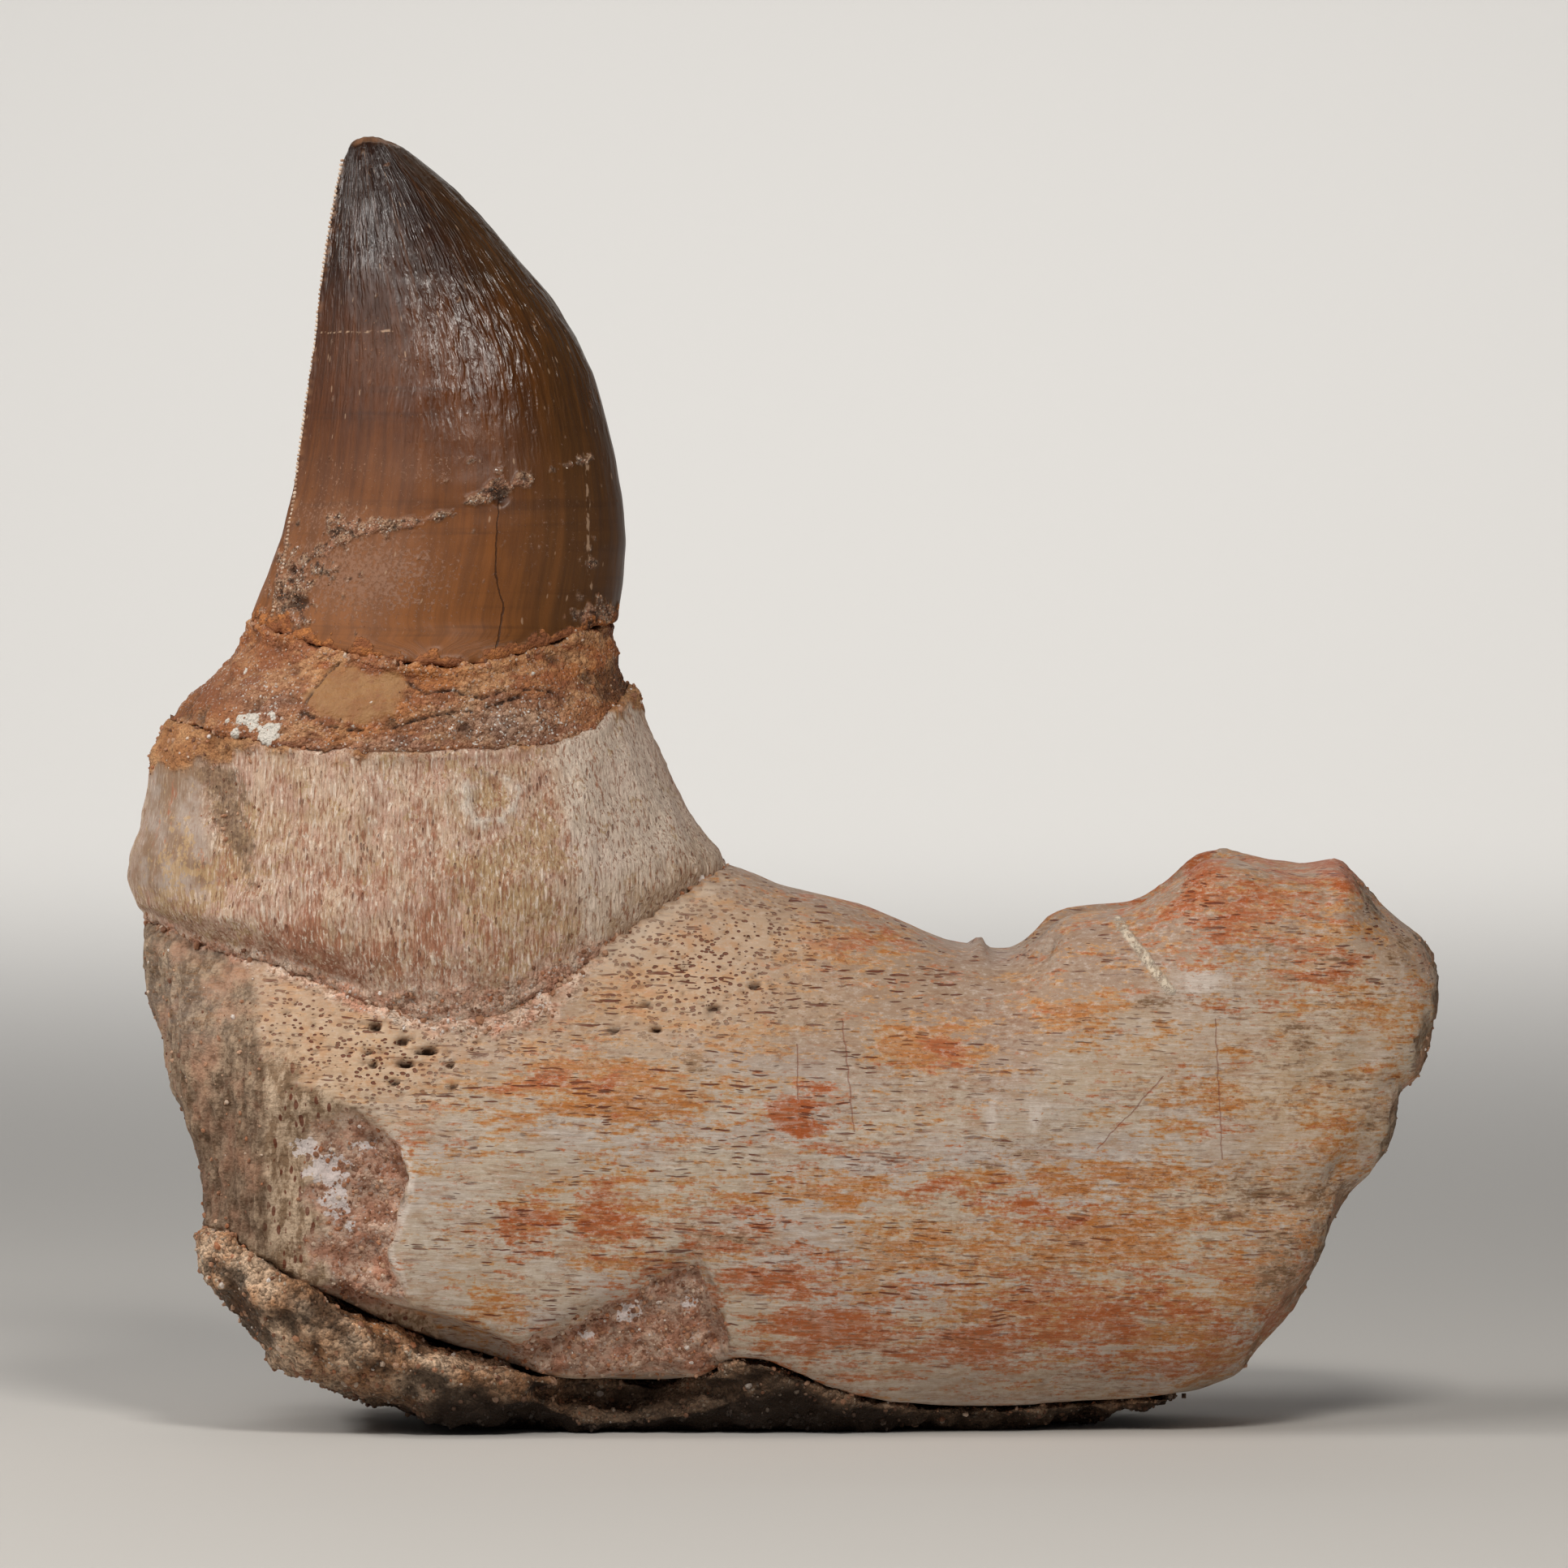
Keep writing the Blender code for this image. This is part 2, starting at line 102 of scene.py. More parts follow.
def skin_of(piece):
    """The piece's points in millimetres and its outward directions, as two arrays."""
    count = len(piece.data.vertices)
    points, outward = np.empty(count * 3), np.empty(count * 3)
    piece.data.vertices.foreach_get("co", points)
    piece.data.vertices.foreach_get("normal", outward)
    return points.reshape(-1, 3) / MM, outward.reshape(-1, 3)


def carve(piece, points, outward, height):
    """Moves every point out by its height in millimetres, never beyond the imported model's own box."""
    low, high = (np.array(corner) / MM for corner in cad_box)
    moved = np.clip(points + outward * height[:, None], low, high)
    piece.data.vertices.foreach_set("co", (moved * MM).ravel())
    piece.data.shade_smooth()
    piece.data.update()


def lumps(points, size, seed, octaves=3, stretch=(1, 1, 1)):
    """Natural unevenness from about -1 to 1, in lumps about as wide as size."""
    spots = points / (size * np.array(stretch)) + seed
    return np.array([noise.fractal(Vector(spot), 1.0, 2.0, octaves) for spot in spots])


def hole_distance(points, size, seed, stretch=(1, 1, 1)):
    """Distance to the nearest of many scattered places, with 1 about half way between two."""
    spots = points / (size * np.array(stretch)) + seed
    return np.array([noise.voronoi(Vector(spot))[0][0] for spot in spots])


def blots(x, z, marks):
    """How strongly each point lies in any of several soft oval marks."""
    strength = np.zeros(len(x))
    for mark_x, mark_z, half_length, half_height, most in marks:
        off = ((x - mark_x) / half_length) ** 2 + ((z - mark_z) / half_height) ** 2
        strength = np.maximum(strength, most * np.exp(-0.7 * off))
    return strength


def well_inside(points):
    """1 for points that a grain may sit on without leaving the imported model's own box, else 0."""
    low, high = (np.array(corner) / MM for corner in cad_box)
    return np.all((points > low + 0.95) & (points < high - 0.95), axis=1).astype(float)


def distance_between(points, other, reach):
    """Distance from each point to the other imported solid, level past reach."""
    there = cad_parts[other].data
    surface = BVHTree.FromPolygons([v.co for v in there.vertices], [p.vertices for p in there.polygons])
    near = [surface.find_nearest(Vector(point * MM), reach * MM)[3] for point in points]
    return np.array([reach if found is None else found / MM for found in near])


def rise(low, high, values):
    """0 below low, 1 above high, and a smooth rise between."""
    t = np.clip((values - low) / (high - low), 0, 1)
    return t * t * (3 - 2 * t)


def paint(piece, name, values):
    """Keeps one number or direction for every point, for the finish to read."""
    values = np.asarray(values, dtype=np.float32)
    kind, field = ("FLOAT", "value") if values.ndim == 1 else ("FLOAT_VECTOR", "vector")
    layer = piece.data.attributes.new(name, kind, "POINT")
    layer.data.foreach_set(field, values.ravel())


def put(tree, kind, sockets=None, **settings):
    """Adds one node. A socket given another node's output is joined to it, and one given a value is set."""
    made = tree.nodes.new(kind)
    for name, value in settings.items():
        setattr(made, name, value)
    for key, value in (sockets or {}).items():
        if isinstance(value, bpy.types.NodeSocket):
            tree.links.new(value, made.inputs[key])
        else:
            made.inputs[key].default_value = value
    return made


def sums(tree, operation, *values, clamp=False):
    """Arithmetic on one, two or three values."""
    sockets = dict(enumerate(values))
    return put(tree, "ShaderNodeMath", sockets, operation=operation, use_clamp=clamp).outputs[0]


def places(tree, operation, first, second, output="Vector"):
    """Arithmetic on places and directions, or on one of them and a number where it is scaled."""
    sockets = {0: first, 3 if operation == "SCALE" else 1: second}
    return put(tree, "ShaderNodeVectorMath", sockets, operation=operation).outputs[output]


def between(tree, value, low, high, start=0.0, end=1.0):
    """Turns a value from low to high into a smooth start to end."""
    sockets = {"Value": value, "From Min": low, "From Max": high, "To Min": start, "To Max": end}
    return put(tree, "ShaderNodeMapRange", sockets, interpolation_type="SMOOTHSTEP").outputs[0]


def blend(tree, share, under, over):
    """Lays one colour over another by a share."""
    under, over = (c if isinstance(c, bpy.types.NodeSocket) else (*c, 1) for c in (under, over))
    return put(tree, "ShaderNodeMix", {0: share, 6: under, 7: over}, data_type="RGBA").outputs[2]


def tinge(tree, under, over, where, share=1.0, clamp=False):
    """Lays one colour over another by a value kept on the piece's points, or given, times a share."""
    strength = painted(tree, where) if isinstance(where, str) else where
    return blend(tree, sums(tree, "MULTIPLY", strength, share, clamp=clamp), under, over)


def fade(tree, under, over, value, low, high, start=0.0, end=1.0):
    """Lays one colour over another, its share going from start to end as the value goes from low to high."""
    return blend(tree, between(tree, value, low, high, start, end), under, over)


def speckle(tree, place, size, seed=0.0, detail=4.0, roughness=0.55, warp=0.0):
    """Cloudy variation about size millimetres wide, or (x, y, z) sizes where it is drawn out one way."""
    sizes = size if isinstance(size, tuple) else (size, size, size)
    scale = tuple(1 / (each * MM) for each in sizes)
    moved = {"Vector": place, "Location": (seed, seed * 2, seed * 3), "Scale": scale}
    laid = put(tree, "ShaderNodeMapping", moved).outputs[0]
    cloud = {"Vector": laid, "Scale": 1.0, "Detail": detail, "Roughness": roughness, "Distortion": warp}
    return put(tree, "ShaderNodeTexNoise", cloud).outputs["Fac"]


def painted(tree, name, output="Fac"):
    """A number or direction kept on the piece's own points."""
    return put(tree, "ShaderNodeAttribute", attribute_name=name).outputs[output]


def new_finish(name, **shader_values):
    """An empty finish with its shader's even values set: gives the material, its tree, shader and place."""
    material = bpy.data.materials.new(name)
    material.use_nodes = True
    tree = material.node_tree
    shader = tree.nodes["Principled BSDF"]
    for socket, value in shader_values.items():
        shader.inputs[socket.replace("_", " ")].default_value = value
    place = put(tree, "ShaderNodeTexCoord").outputs["Object"]
    return material, tree, shader, place


def finish_with(tree, shader, colour, roughness, height, depth):
    """Joins a finish's colour, roughness and fine relief, whose full height is depth millimetres."""
    bump = put(tree, "ShaderNodeBump", {"Strength": 1.0, "Distance": depth * MM, "Height": height})
    tree.links.new(colour, shader.inputs["Base Color"])
    tree.links.new(roughness, shader.inputs["Roughness"])
    tree.links.new(bump.outputs[0], shader.inputs["Normal"])


def new_group(name, inputs, outputs):
    """An empty shader group with named inputs and outputs; a three-number input is a direction or place."""
    group = bpy.data.node_groups.new(name, "ShaderNodeTree")
    for label, value in inputs.items():
        kind = "NodeSocketVector" if isinstance(value, tuple) else "NodeSocketFloat"
        group.interface.new_socket(name=label, in_out="INPUT", socket_type=kind).default_value = value
    for label in outputs:
        group.interface.new_socket(name=label, in_out="OUTPUT", socket_type="NodeSocketFloat")
    return group, put(group, "NodeGroupInput").outputs, put(group, "NodeGroupOutput").inputs


def use(tree, group, **sockets):
    """Places a shader group with its own values."""
    made = put(tree, "ShaderNodeGroup", node_tree=group)
    for name, value in sockets.items():
        socket = made.inputs[name.replace("_", " ")]
        if isinstance(value, bpy.types.NodeSocket):
            tree.links.new(value, socket)
        else:
            socket.default_value = value
    return made.outputs


# Set sand: angular grains pressed together, each with its own tone, and a few that catch the light
set_sand, given, wanted = new_group(
    "set sand", {"Place": (0.0, 0.0, 0.0), "Grain": 0.5}, ("Tone", "Height", "Glint")
)
grains_per_metre = sums(set_sand, "DIVIDE", 1000.0, given["Grain"])
coarse = put(set_sand, "ShaderNodeTexVoronoi", {"Vector": given["Place"], "Scale": grains_per_metre})
half_size = sums(set_sand, "MULTIPLY", grains_per_metre, 2.3)
fine = put(set_sand, "ShaderNodeTexVoronoi", {"Vector": given["Place"], "Scale": half_size})
coarse_tone = put(set_sand, "ShaderNodeSeparateColor", {"Color": coarse.outputs["Color"]}).outputs
fine_tone = put(set_sand, "ShaderNodeSeparateColor", {"Color": fine.outputs["Color"]}).outputs
tone = sums(set_sand, "MULTIPLY_ADD", fine_tone[0], 0.5, sums(set_sand, "MULTIPLY", coarse_tone[0], 0.5))
set_sand.links.new(tone, wanted["Tone"])
dip = sums(set_sand, "MULTIPLY_ADD", fine.outputs["Distance"], 0.45, coarse.outputs["Distance"])
set_sand.links.new(sums(set_sand, "SUBTRACT", 1.2, dip), wanted["Height"])
set_sand.links.new(between(set_sand, fine_tone[1], 0.9, 0.97), wanted["Glint"])

base_stone = fine_copy("base_stone", "host_stone", STONE_CELL, 8)
points, outward = skin_of(base_stone)
x, y, z = points.T
# The cut underside stays level, and the sides are lumpy
rough = rise(0.15, 0.9, z)
cobbles = 0.5 - hole_distance(points, 2.6, 5)
height = sum(depth * lumps(points, size, 3 + size, 4) for size, depth in STONE_LUMPS) + 0.7 * cobbles
height -= 1.4 * blots(x, z, [(-52, 8, 4, 5, 1)]) * rise(0.2, 0.7, -outward[:, 0])
meets_jaw = (1 - rise(0.5, 1.6, distance_between(points, "jaw_bone", 3.0))) * (1 - rise(-44, -40, x))
carve(base_stone, points, outward, (height - 0.1 + 0.45 * meets_jaw) * rough)
# Painted shade: the low places of the lumpy relief are darkened in the finish
paint(base_stone, "hollow", rise(0.1, -0.55, height))
# Painted shadow: faces turned down near the cut base, and the low middle under the jaw's overhang, are
# darkened in the finish
facing_down = rise(0.3, 0.95, -outward[:, 2]) * (1 - rise(3, 9, z))
shadowed_middle = rise(-38, -28, x) * (1 - 0.8 * rise(0, 16, x)) * (1 - rise(3, 8, z))
paint(base_stone, "underside", facing_down + 0.95 * shadowed_middle)
paint(base_stone, "grainy", (0.35 + 0.65 * rise(-0.1, 0.5, height)) * well_inside(points))

material, tree, shader, place = new_finish("host_stone", Specular_IOR_Level=0.35)
sand = use(tree, set_sand, Place=place, Grain=0.55)
colour = fade(tree, STONE_BROWN, STONE_TAN, speckle(tree, place, 5.0, 1), 0.36, 0.62)
colour = fade(tree, colour, STONE_RUST, speckle(tree, place, 7.0, 5), 0.48, 0.66)
right_part = between(tree, put(tree, "ShaderNodeSeparateXYZ", {0: place}).outputs[0], -0.034, -0.01, 0.0, 0.8)
colour = blend(tree, right_part, colour, STONE_GREY)
colour = fade(tree, colour, DARK_GRAIN_AND_SHADE, sand["Tone"], 0.15, 0.85, 0.68, 0.0)
crumbs = sums(tree, "MULTIPLY", sand["Glint"], between(tree, speckle(tree, place, 3.0, 9), 0.4, 0.6))
colour = blend(tree, crumbs, colour, BONE_CRUMB)
# Painted shade in the low places of the relief
colour = tinge(tree, colour, DARK_GRAIN_AND_SHADE, "hollow", 0.8)
# Painted shadow on the underside and in the low middle
colour = tinge(tree, colour, DARK_GRAIN_AND_SHADE, "underside", 0.72, clamp=True)
stone_roughness = between(tree, sand["Glint"], 0.0, 1.0, 0.88, 0.4)
stone_height = sums(tree, "ADD", sand["Height"], speckle(tree, place, 1.6, 4))
finish_with(tree, shader, colour, stone_roughness, stone_height, 0.35)
base_stone.data.materials.append(material)
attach(base_stone, "root")
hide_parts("base_stone")


# Jaw bone
# A block of dense fossil bone from the tooth row. Its outer skin is smooth, pale and full of fine vessel
# holes that run lengthwise, stained orange and rust by iron in the rock. Where the skin has flaked off,
# and at both broken ends, the coarse inside shows.

JAW_CELL = 0.7
JAW_CREAM = (0.59, 0.485, 0.37)
JAW_GREY = (0.555, 0.47, 0.41)
JAW_TAN = (0.47, 0.315, 0.205)
JAW_PINK = (0.50, 0.27, 0.17)
YELLOW_BONE = (0.68, 0.455, 0.26)
OCHRE = (0.52, 0.185, 0.04)
PALE_OCHRE = (0.58, 0.31, 0.13)
RUST = (0.44, 0.10, 0.02)
RUST_PINK = (0.52, 0.19, 0.08)
STAIN_BROWN = (0.22, 0.09, 0.042)
PORE_DARK = (0.15, 0.03, 0.012)
HOLE_SHADE = (0.045, 0.016, 0.008)
HOLLOW_SHADE = (0.09, 0.04, 0.022)
CREST_BROWN = (0.36, 0.22, 0.14)
STAIN_OLIVE = (0.23, 0.135, 0.07)
GRIT_DARK = (0.25, 0.11, 0.055)
FOOT_SHADE = (0.20, 0.12, 0.065)
POROUS_TAN = (0.80, 0.57, 0.38)
POROUS_ORANGE = (0.56, 0.30, 0.15)
NEAR_ROOT_CREAM = (0.72, 0.56, 0.42)
FIBROUS_BROWN = (0.29, 0.185, 0.11)
FIBROUS_TAN = (0.64, 0.475, 0.335)
BROKEN_BROWN = (0.13, 0.078, 0.045)
BROKEN_TAN = (0.43, 0.305, 0.205)
MATRIX_PINK = (0.74, 0.39, 0.265)
MATRIX_TAN = (0.90, 0.69, 0.54)
MATRIX_DARK = (0.25, 0.11, 0.058)
MATRIX_RED = (0.42, 0.165, 0.09)
CHALK_WHITE = (0.80, 0.71, 0.64)
CHIP_WHITE = (0.80, 0.72, 0.70)
HAIRLINE_RED = (0.30, 0.09, 0.05)
SCRATCH_CREAM = (0.78, 0.67, 0.52)

# Stains on the outer face as (x, z, half length, half height, strength)
OCHRE_STAINS = [
    (5.7, 44.6, 6.5, 1.7, 0.8), (13.2, 36.2, 4.5, 2.0, 1.2), (26.7, 39.2, 5, 2, 0.9),
    (-16.4, 32, 11, 3.2, 1.05), (-14.2, 40.6, 4.5, 2, 0.7), (-22.8, 20.8, 4, 2.6, 0.8),
    (-15.3, 20.8, 2.6, 3.4, 0.8), (2.7, 22.7, 8.5, 1.3, 1.15), (30, 24, 11, 1.3, 1.2),
    (28, 19.4, 12, 2.2, 0.95), (36, 31, 6, 3, 0.6), (57, 38, 3.5, 6, 0.6), (45.5, 47, 9, 5, 0.6),
    (51.5, 41, 4, 4, 0.6), (-28, 13, 2.6, 2.4, 0.9), (11, 17.4, 7, 3.2, 1.0), (44, 17, 7, 6, 0.85),
    (22, 12, 12, 3, 0.75), (50, 26, 4, 5, 0.75), (-4, 37, 6, 2, 0.6), (38, 9, 7, 3, 1.0),
    (46, 47, 12, 6, 0.4), (27, 17, 12, 3, 0.9), (-33, 10, 3, 2, 0.8), (-14, 16.6, 6, 0.9, 1.0),
]
RUST_STAINS = [
    (1, 29.8, 2.4, 2.2, 1.3), (14.7, 36, 1.8, 1.5, 0.95), (-19.8, 33, 5, 1, 0.7),
    (-24.3, 20.2, 2.4, 2.4, 1.0), (-15.7, 20, 2, 3, 1.0), (-6.3, 19.3, 3.8, 2.6, 0.85),
    (4, 10.6, 7, 2.6, 1.15), (17.7, 8.6, 6.5, 2.2, 1.15), (29.3, 11.2, 6.5, 1.8, 1.05),
    (34.5, 7, 4, 1.5, 0.95), (-0.7, 15, 5.5, 1.9, 0.95), (-10.5, 13.4, 3.4, 1.6, 0.9),
    (38.7, 52.7, 2.2, 2.0, 1.3), (51.5, 51.6, 2.4, 2.0, 1.35), (40, 48.6, 6, 3.4, 0.72),
    (14.7, 23, 6, 0.9, 0.85), (23.3, 20.6, 6, 0.8, 0.8), (46, 12, 6, 3.4, 0.75), (14, 9, 16, 4, 0.6),
    (28, 12, 9, 3.5, 0.8), (44, 50, 8, 3, 0.5), (51, 53, 2, 1.4, 1.2), (6, 45, 7, 1.4, 0.6),
    (48, 43, 5, 3, 0.62), (-11.5, 15.8, 3.6, 0.8, 1.0), (-34, 28, 3, 2, 0.5),
]
BROWN_STAINS = [
    (3.8, 40, 2.2, 2, 0.95), (34.6, 40.3, 2.2, 1.6, 1.15), (20.7, 26, 1.8, 1.6, 0.7),
    (-7.8, 34.3, 3, 1, 0.95), (9.5, 17, 4, 2.4, 0.9), (50.7, 35, 1.2, 3, 0.8), (50.7, 21.9, 4.5, 1.6, 1.4),
    (43.2, 21.9, 3.5, 1.4, 1.5), (45.5, 16.3, 4.5, 4.5, 0.95), (-6.3, 19, 2.4, 2, 1.1), (49, 10, 5, 4, 0.9),
    (54, 30, 2.4, 4, 0.9), (56, 45, 2, 3, 0.9), (47, 36.5, 2, 3.4, 1.0), (47, 44, 5, 2.6, 0.95),
]
PALE_SPOTS = [
    (38.3, 42.1, 2.6, 1.6, 0.9), (19, 29.8, 0.9, 2.0, 0.75), (23, 29.8, 1.1, 2.0, 0.75),
    (34, 43.5, 2.4, 1.2, 0.6), (18.5, 40, 0.6, 3.6, 0.55),
]
# Parts of the outer skin: porous, yellowed, and with few vessel holes
POROUS_PARTS = [
    (-44, 37, 5, 5, 1.1), (-37, 35, 6, 4, 1.2), (-8, 43, 8, 5, 1.1), (-28, 37, 8, 2.2, 0.7),
    (-3, 46, 6, 3, 1),
]
YELLOW_PARTS = [
    (-42, 35, 6, 6, 1), (-14, 40, 7, 3, 1), (38, 36, 12, 5, 0.5), (47, 31, 8, 7, 0.75), (53, 41, 5, 6, 0.7),
]
DENSE_PARTS = [(41, 30, 12, 9, 1), (40, 9, 14, 6, 0.9), (15, 4, 25, 3, 0.9)]
# Open vessel holes at the foot of the tooth, as (x, z, half length, half height, depth)
VESSEL_HOLES = [
    (-37.1, 38.0, 0.55, 0.42, 1.1), (-34.5, 36.6, 0.6, 0.4, 0.9), (-32.4, 35.7, 1.05, 0.34, 1.3),
    (-34.3, 34.6, 0.75, 0.42, 1.2), (-37.6, 35.6, 0.32, 0.25, 0.8), (-37.2, 34.5, 0.4, 0.3, 0.8),
    (-35.3, 32.9, 0.45, 0.32, 0.9), (-30.2, 34.5, 0.35, 0.25, 0.7), (-30, 32.4, 0.35, 0.3, 0.7),
    (-11.4, 37.7, 0.6, 0.3, 0.8), (-15.3, 37.6, 0.55, 0.25, 0.7), (-2.5, 41.6, 0.7, 0.3, 0.7),
    (-6.2, 39.6, 0.8, 0.25, 0.7), (-12.4, 39.9, 0.6, 0.25, 0.6),
]
# Chips of white bone in the left patch and low patch
CHALK_CHIPS = [
    (-43.6, 26.9, 1.0, 0.7, 1.1), (-41.5, 25.0, 1.6, 1.2, 1.2), (-40.5, 22.4, 1.2, 1.6, 1.0),
    (-38.3, 27, 1.0, 0.5, 0.9), (-39.4, 20, 0.7, 0.6, 0.8), (-14.0, 11.6, 1.3, 0.8, 1.0),
    (-8.5, 12.5, 0.7, 0.5, 0.9), (-18, 9.6, 0.8, 0.5, 0.8),
]
# Fine cracks and one pale scratch in the outer skin, as (from, to, width) with (x, z) places
JAW_HAIRLINES = [
    ((5.7, 38.8), (6.8, 28.7), 0.085),
    ((39.7, 38.8), (40.4, 26), 0.08),
    ((35, 33.5), (29.0, 27.0), 0.08),
    ((1.6, 36.5), (1.7, 31.5), 0.08),
]
JAW_SCRATCH = [((31.0, 47.4), (35.6, 41.4), 0.62)]
# Edges of the whole outer skin: at the left patch as (z, x) and over the lower patch as (x, z)
PLATE_EDGE = [
    (9, -31), (13, -34.2), (17.6, -36.2), (21.2, -34.8), (24.2, -34.2), (27.2, -35), (30, -38), (33, -44),
]
FLAKE_EDGE = [(-25, 7.5), (-20, 10.6), (-14, 13.6), (-7.8, 16.4), (-5.4, 11), (-4.4, 6)]
# Corner between the outer face and the left broken end, as (z, x)
LEFT_CORNER = [(10, -46), (20, -46.6), (32, -47.2), (40, -47.8), (44, -49)]


def along(pairs, at):
    """Value at each place on the line through (place, value) pairs."""
    return np.interp(at, *zip(*pairs))


# Vessel holes: small openings, round or drawn out along the grain of the bone, in clusters
vessel_holes, given, wanted = new_group(
    "vessel holes",
    {"Place": (0.0, 0.0, 0.0), "Cell": (0.002, 0.001, 0.0006), "Width": 0.3, "Share": 0.5},
    ("Mask",),
)
waver = put(vessel_holes, "ShaderNodeTexNoise", {"Vector": given["Place"], "Scale": 260.0, "Detail": 2.0})
shift = places(vessel_holes, "SCALE", waver.outputs["Color"], 0.0008)
moved = places(vessel_holes, "ADD", given["Place"], shift)
cells = places(vessel_holes, "DIVIDE", moved, given["Cell"])
scattered = put(vessel_holes, "ShaderNodeTexVoronoi", {"Vector": cells, "Scale": 1.0})
chance = put(vessel_holes, "ShaderNodeSeparateColor", {"Color": scattered.outputs["Color"]}).outputs
own_size = sums(vessel_holes, "MULTIPLY_ADD", chance[1], 0.9, 0.35)
width = sums(vessel_holes, "MULTIPLY", given["Width"], own_size)
inward = sums(vessel_holes, "SUBTRACT", width, scattered.outputs["Distance"])
inside = between(vessel_holes, inward, -0.02, 0.1)
kept = sums(vessel_holes, "LESS_THAN", chance[0], given["Share"])
vessel_holes.links.new(sums(vessel_holes, "MULTIPLY", inside, kept), wanted["Mask"])


def holes_in(tree, place, cell, width, share):
    """Mask of vessel holes, one to a cell of (x, y, z) millimetres, in a share of the cells."""
    sizes = tuple(each * MM for each in cell)
    return use(tree, vessel_holes, Place=place, Cell=sizes, Width=width, Share=share)["Mask"]


# Streaky stain: a painted strength broken up by cloudy patches and fine streaks along the grain
streaky_stain, given, wanted = new_group(
    "streaky stain",
    {"Place": (0.0, 0.0, 0.0), "Patch": (0.005, 0.003, 0.0012), "Strength": 0.0, "Seed": 0.0},
    ("Pale", "Deep"),
)
streak_size = places(streaky_stain, "SCALE", given["Patch"], 0.22)
broken_up = []
for size, detail in ((given["Patch"], 6.0), (streak_size, 4.0)):
    stretched = places(streaky_stain, "DIVIDE", given["Place"], size)
    moved = places(streaky_stain, "ADD", stretched, given["Seed"])
    cloud = {"Vector": moved, "Scale": 1.0, "Detail": detail, "Roughness": 0.66}
    broken_up.append(put(streaky_stain, "ShaderNodeTexNoise", cloud).outputs["Fac"])
specks = put(streaky_stain, "ShaderNodeTexNoise", {"Vector": given["Place"], "Scale": 2600.0, "Detail": 3.0})
unevenness = sums(streaky_stain, "MULTIPLY", specks.outputs["Fac"], 1.8)
unevenness = sums(streaky_stain, "MULTIPLY_ADD", broken_up[1], 3.4, unevenness)
unevenness = sums(streaky_stain, "MULTIPLY_ADD", broken_up[0], 6.0, unevenness)
unevenness = sums(streaky_stain, "SUBTRACT", unevenness, 6.05)
level = sums(streaky_stain, "MULTIPLY_ADD", given["Strength"], 1.5, unevenness)
streaky_stain.links.new(between(streaky_stain, level, 0.34, 0.56), wanted["Pale"])
streaky_stain.links.new(between(streaky_stain, level, 0.8, 1.1), wanted["Deep"])

# Hairline: a thin wavering line on the outer face between two places
hairline, given, wanted = new_group(
    "hairline",
    {"Place": (0.0, 0.0, 0.0), "From": (0.0, 0.0, 0.0), "To": (0.0, 0.0, 1.0), "Width": 0.0001},
    ("Mask",),
)
waver = put(hairline, "ShaderNodeTexNoise", {"Vector": given["Place"], "Scale": 900.0, "Detail": 3.0})
shift = places(hairline, "SCALE", waver.outputs["Color"], 0.0005)
moved = places(hairline, "ADD", given["Place"], shift)
flat = places(hairline, "MULTIPLY", places(hairline, "SUBTRACT", moved, given["From"]), (1, 0, 1))
way = places(hairline, "SUBTRACT", given["To"], given["From"])
reach = places(hairline, "DOT_PRODUCT", flat, way, "Value")
length = places(hairline, "DOT_PRODUCT", way, way, "Value")
share = sums(hairline, "DIVIDE", reach, length, clamp=True)
away = places(hairline, "DISTANCE", flat, places(hairline, "SCALE", way, share), "Value")
inner = sums(hairline, "MULTIPLY", given["Width"], 0.4)
mask = between(hairline, away, inner, given["Width"], 1.0, 0.0)
depth_at = put(hairline, "ShaderNodeSeparateXYZ", {0: given["Place"]}).outputs[1]
in_front = sums(hairline, "LESS_THAN", depth_at, 0.0)
hairline.links.new(sums(hairline, "MULTIPLY", mask, in_front), wanted["Mask"])


def lines_between(tree, place, lines):
    """Hairlines on the outer face, each from one (x, z) place to another and of its own width."""
    mask = None
    for start, end, width in lines:
        ends = {"From": (start[0] * MM, 0, start[1] * MM), "To": (end[0] * MM, 0, end[1] * MM)}
        line = use(tree, hairline, Place=place, Width=width * MM, **ends)["Mask"]
        mask = line if mask is None else sums(tree, "MAXIMUM", mask, line)
    return mask


def packed_sand(tree, place, sand):
    """Pinkish sand of the host rock, set hard in patches and seams."""
    matrix = fade(tree, MATRIX_PINK, MATRIX_TAN, speckle(tree, place, 2.0, 3), 0.38, 0.62)
    matrix = fade(tree, matrix, MATRIX_DARK, sand["Tone"], 0.2, 0.6, 0.72, 0.0)
    return tinge(tree, matrix, CHALK_WHITE, sand["Glint"], 0.8)


jaw_bone = fine_copy("jaw_bone", "jaw_bone_skin", JAW_CELL, 4)
# The outer face is divided finer, for its pores and flaked edges
bm = bmesh.new()
bm.from_mesh(jaw_bone.data)
outer = [edge for edge in bm.edges if all(face.normal.y < -0.3 for face in edge.link_faces)]
bmesh.ops.subdivide_edges(bm, edges=outer, cuts=1, use_grid_fill=True)
bm.to_mesh(jaw_bone.data)
bm.free()
points, outward = skin_of(jaw_bone)
x, y, z = points.T
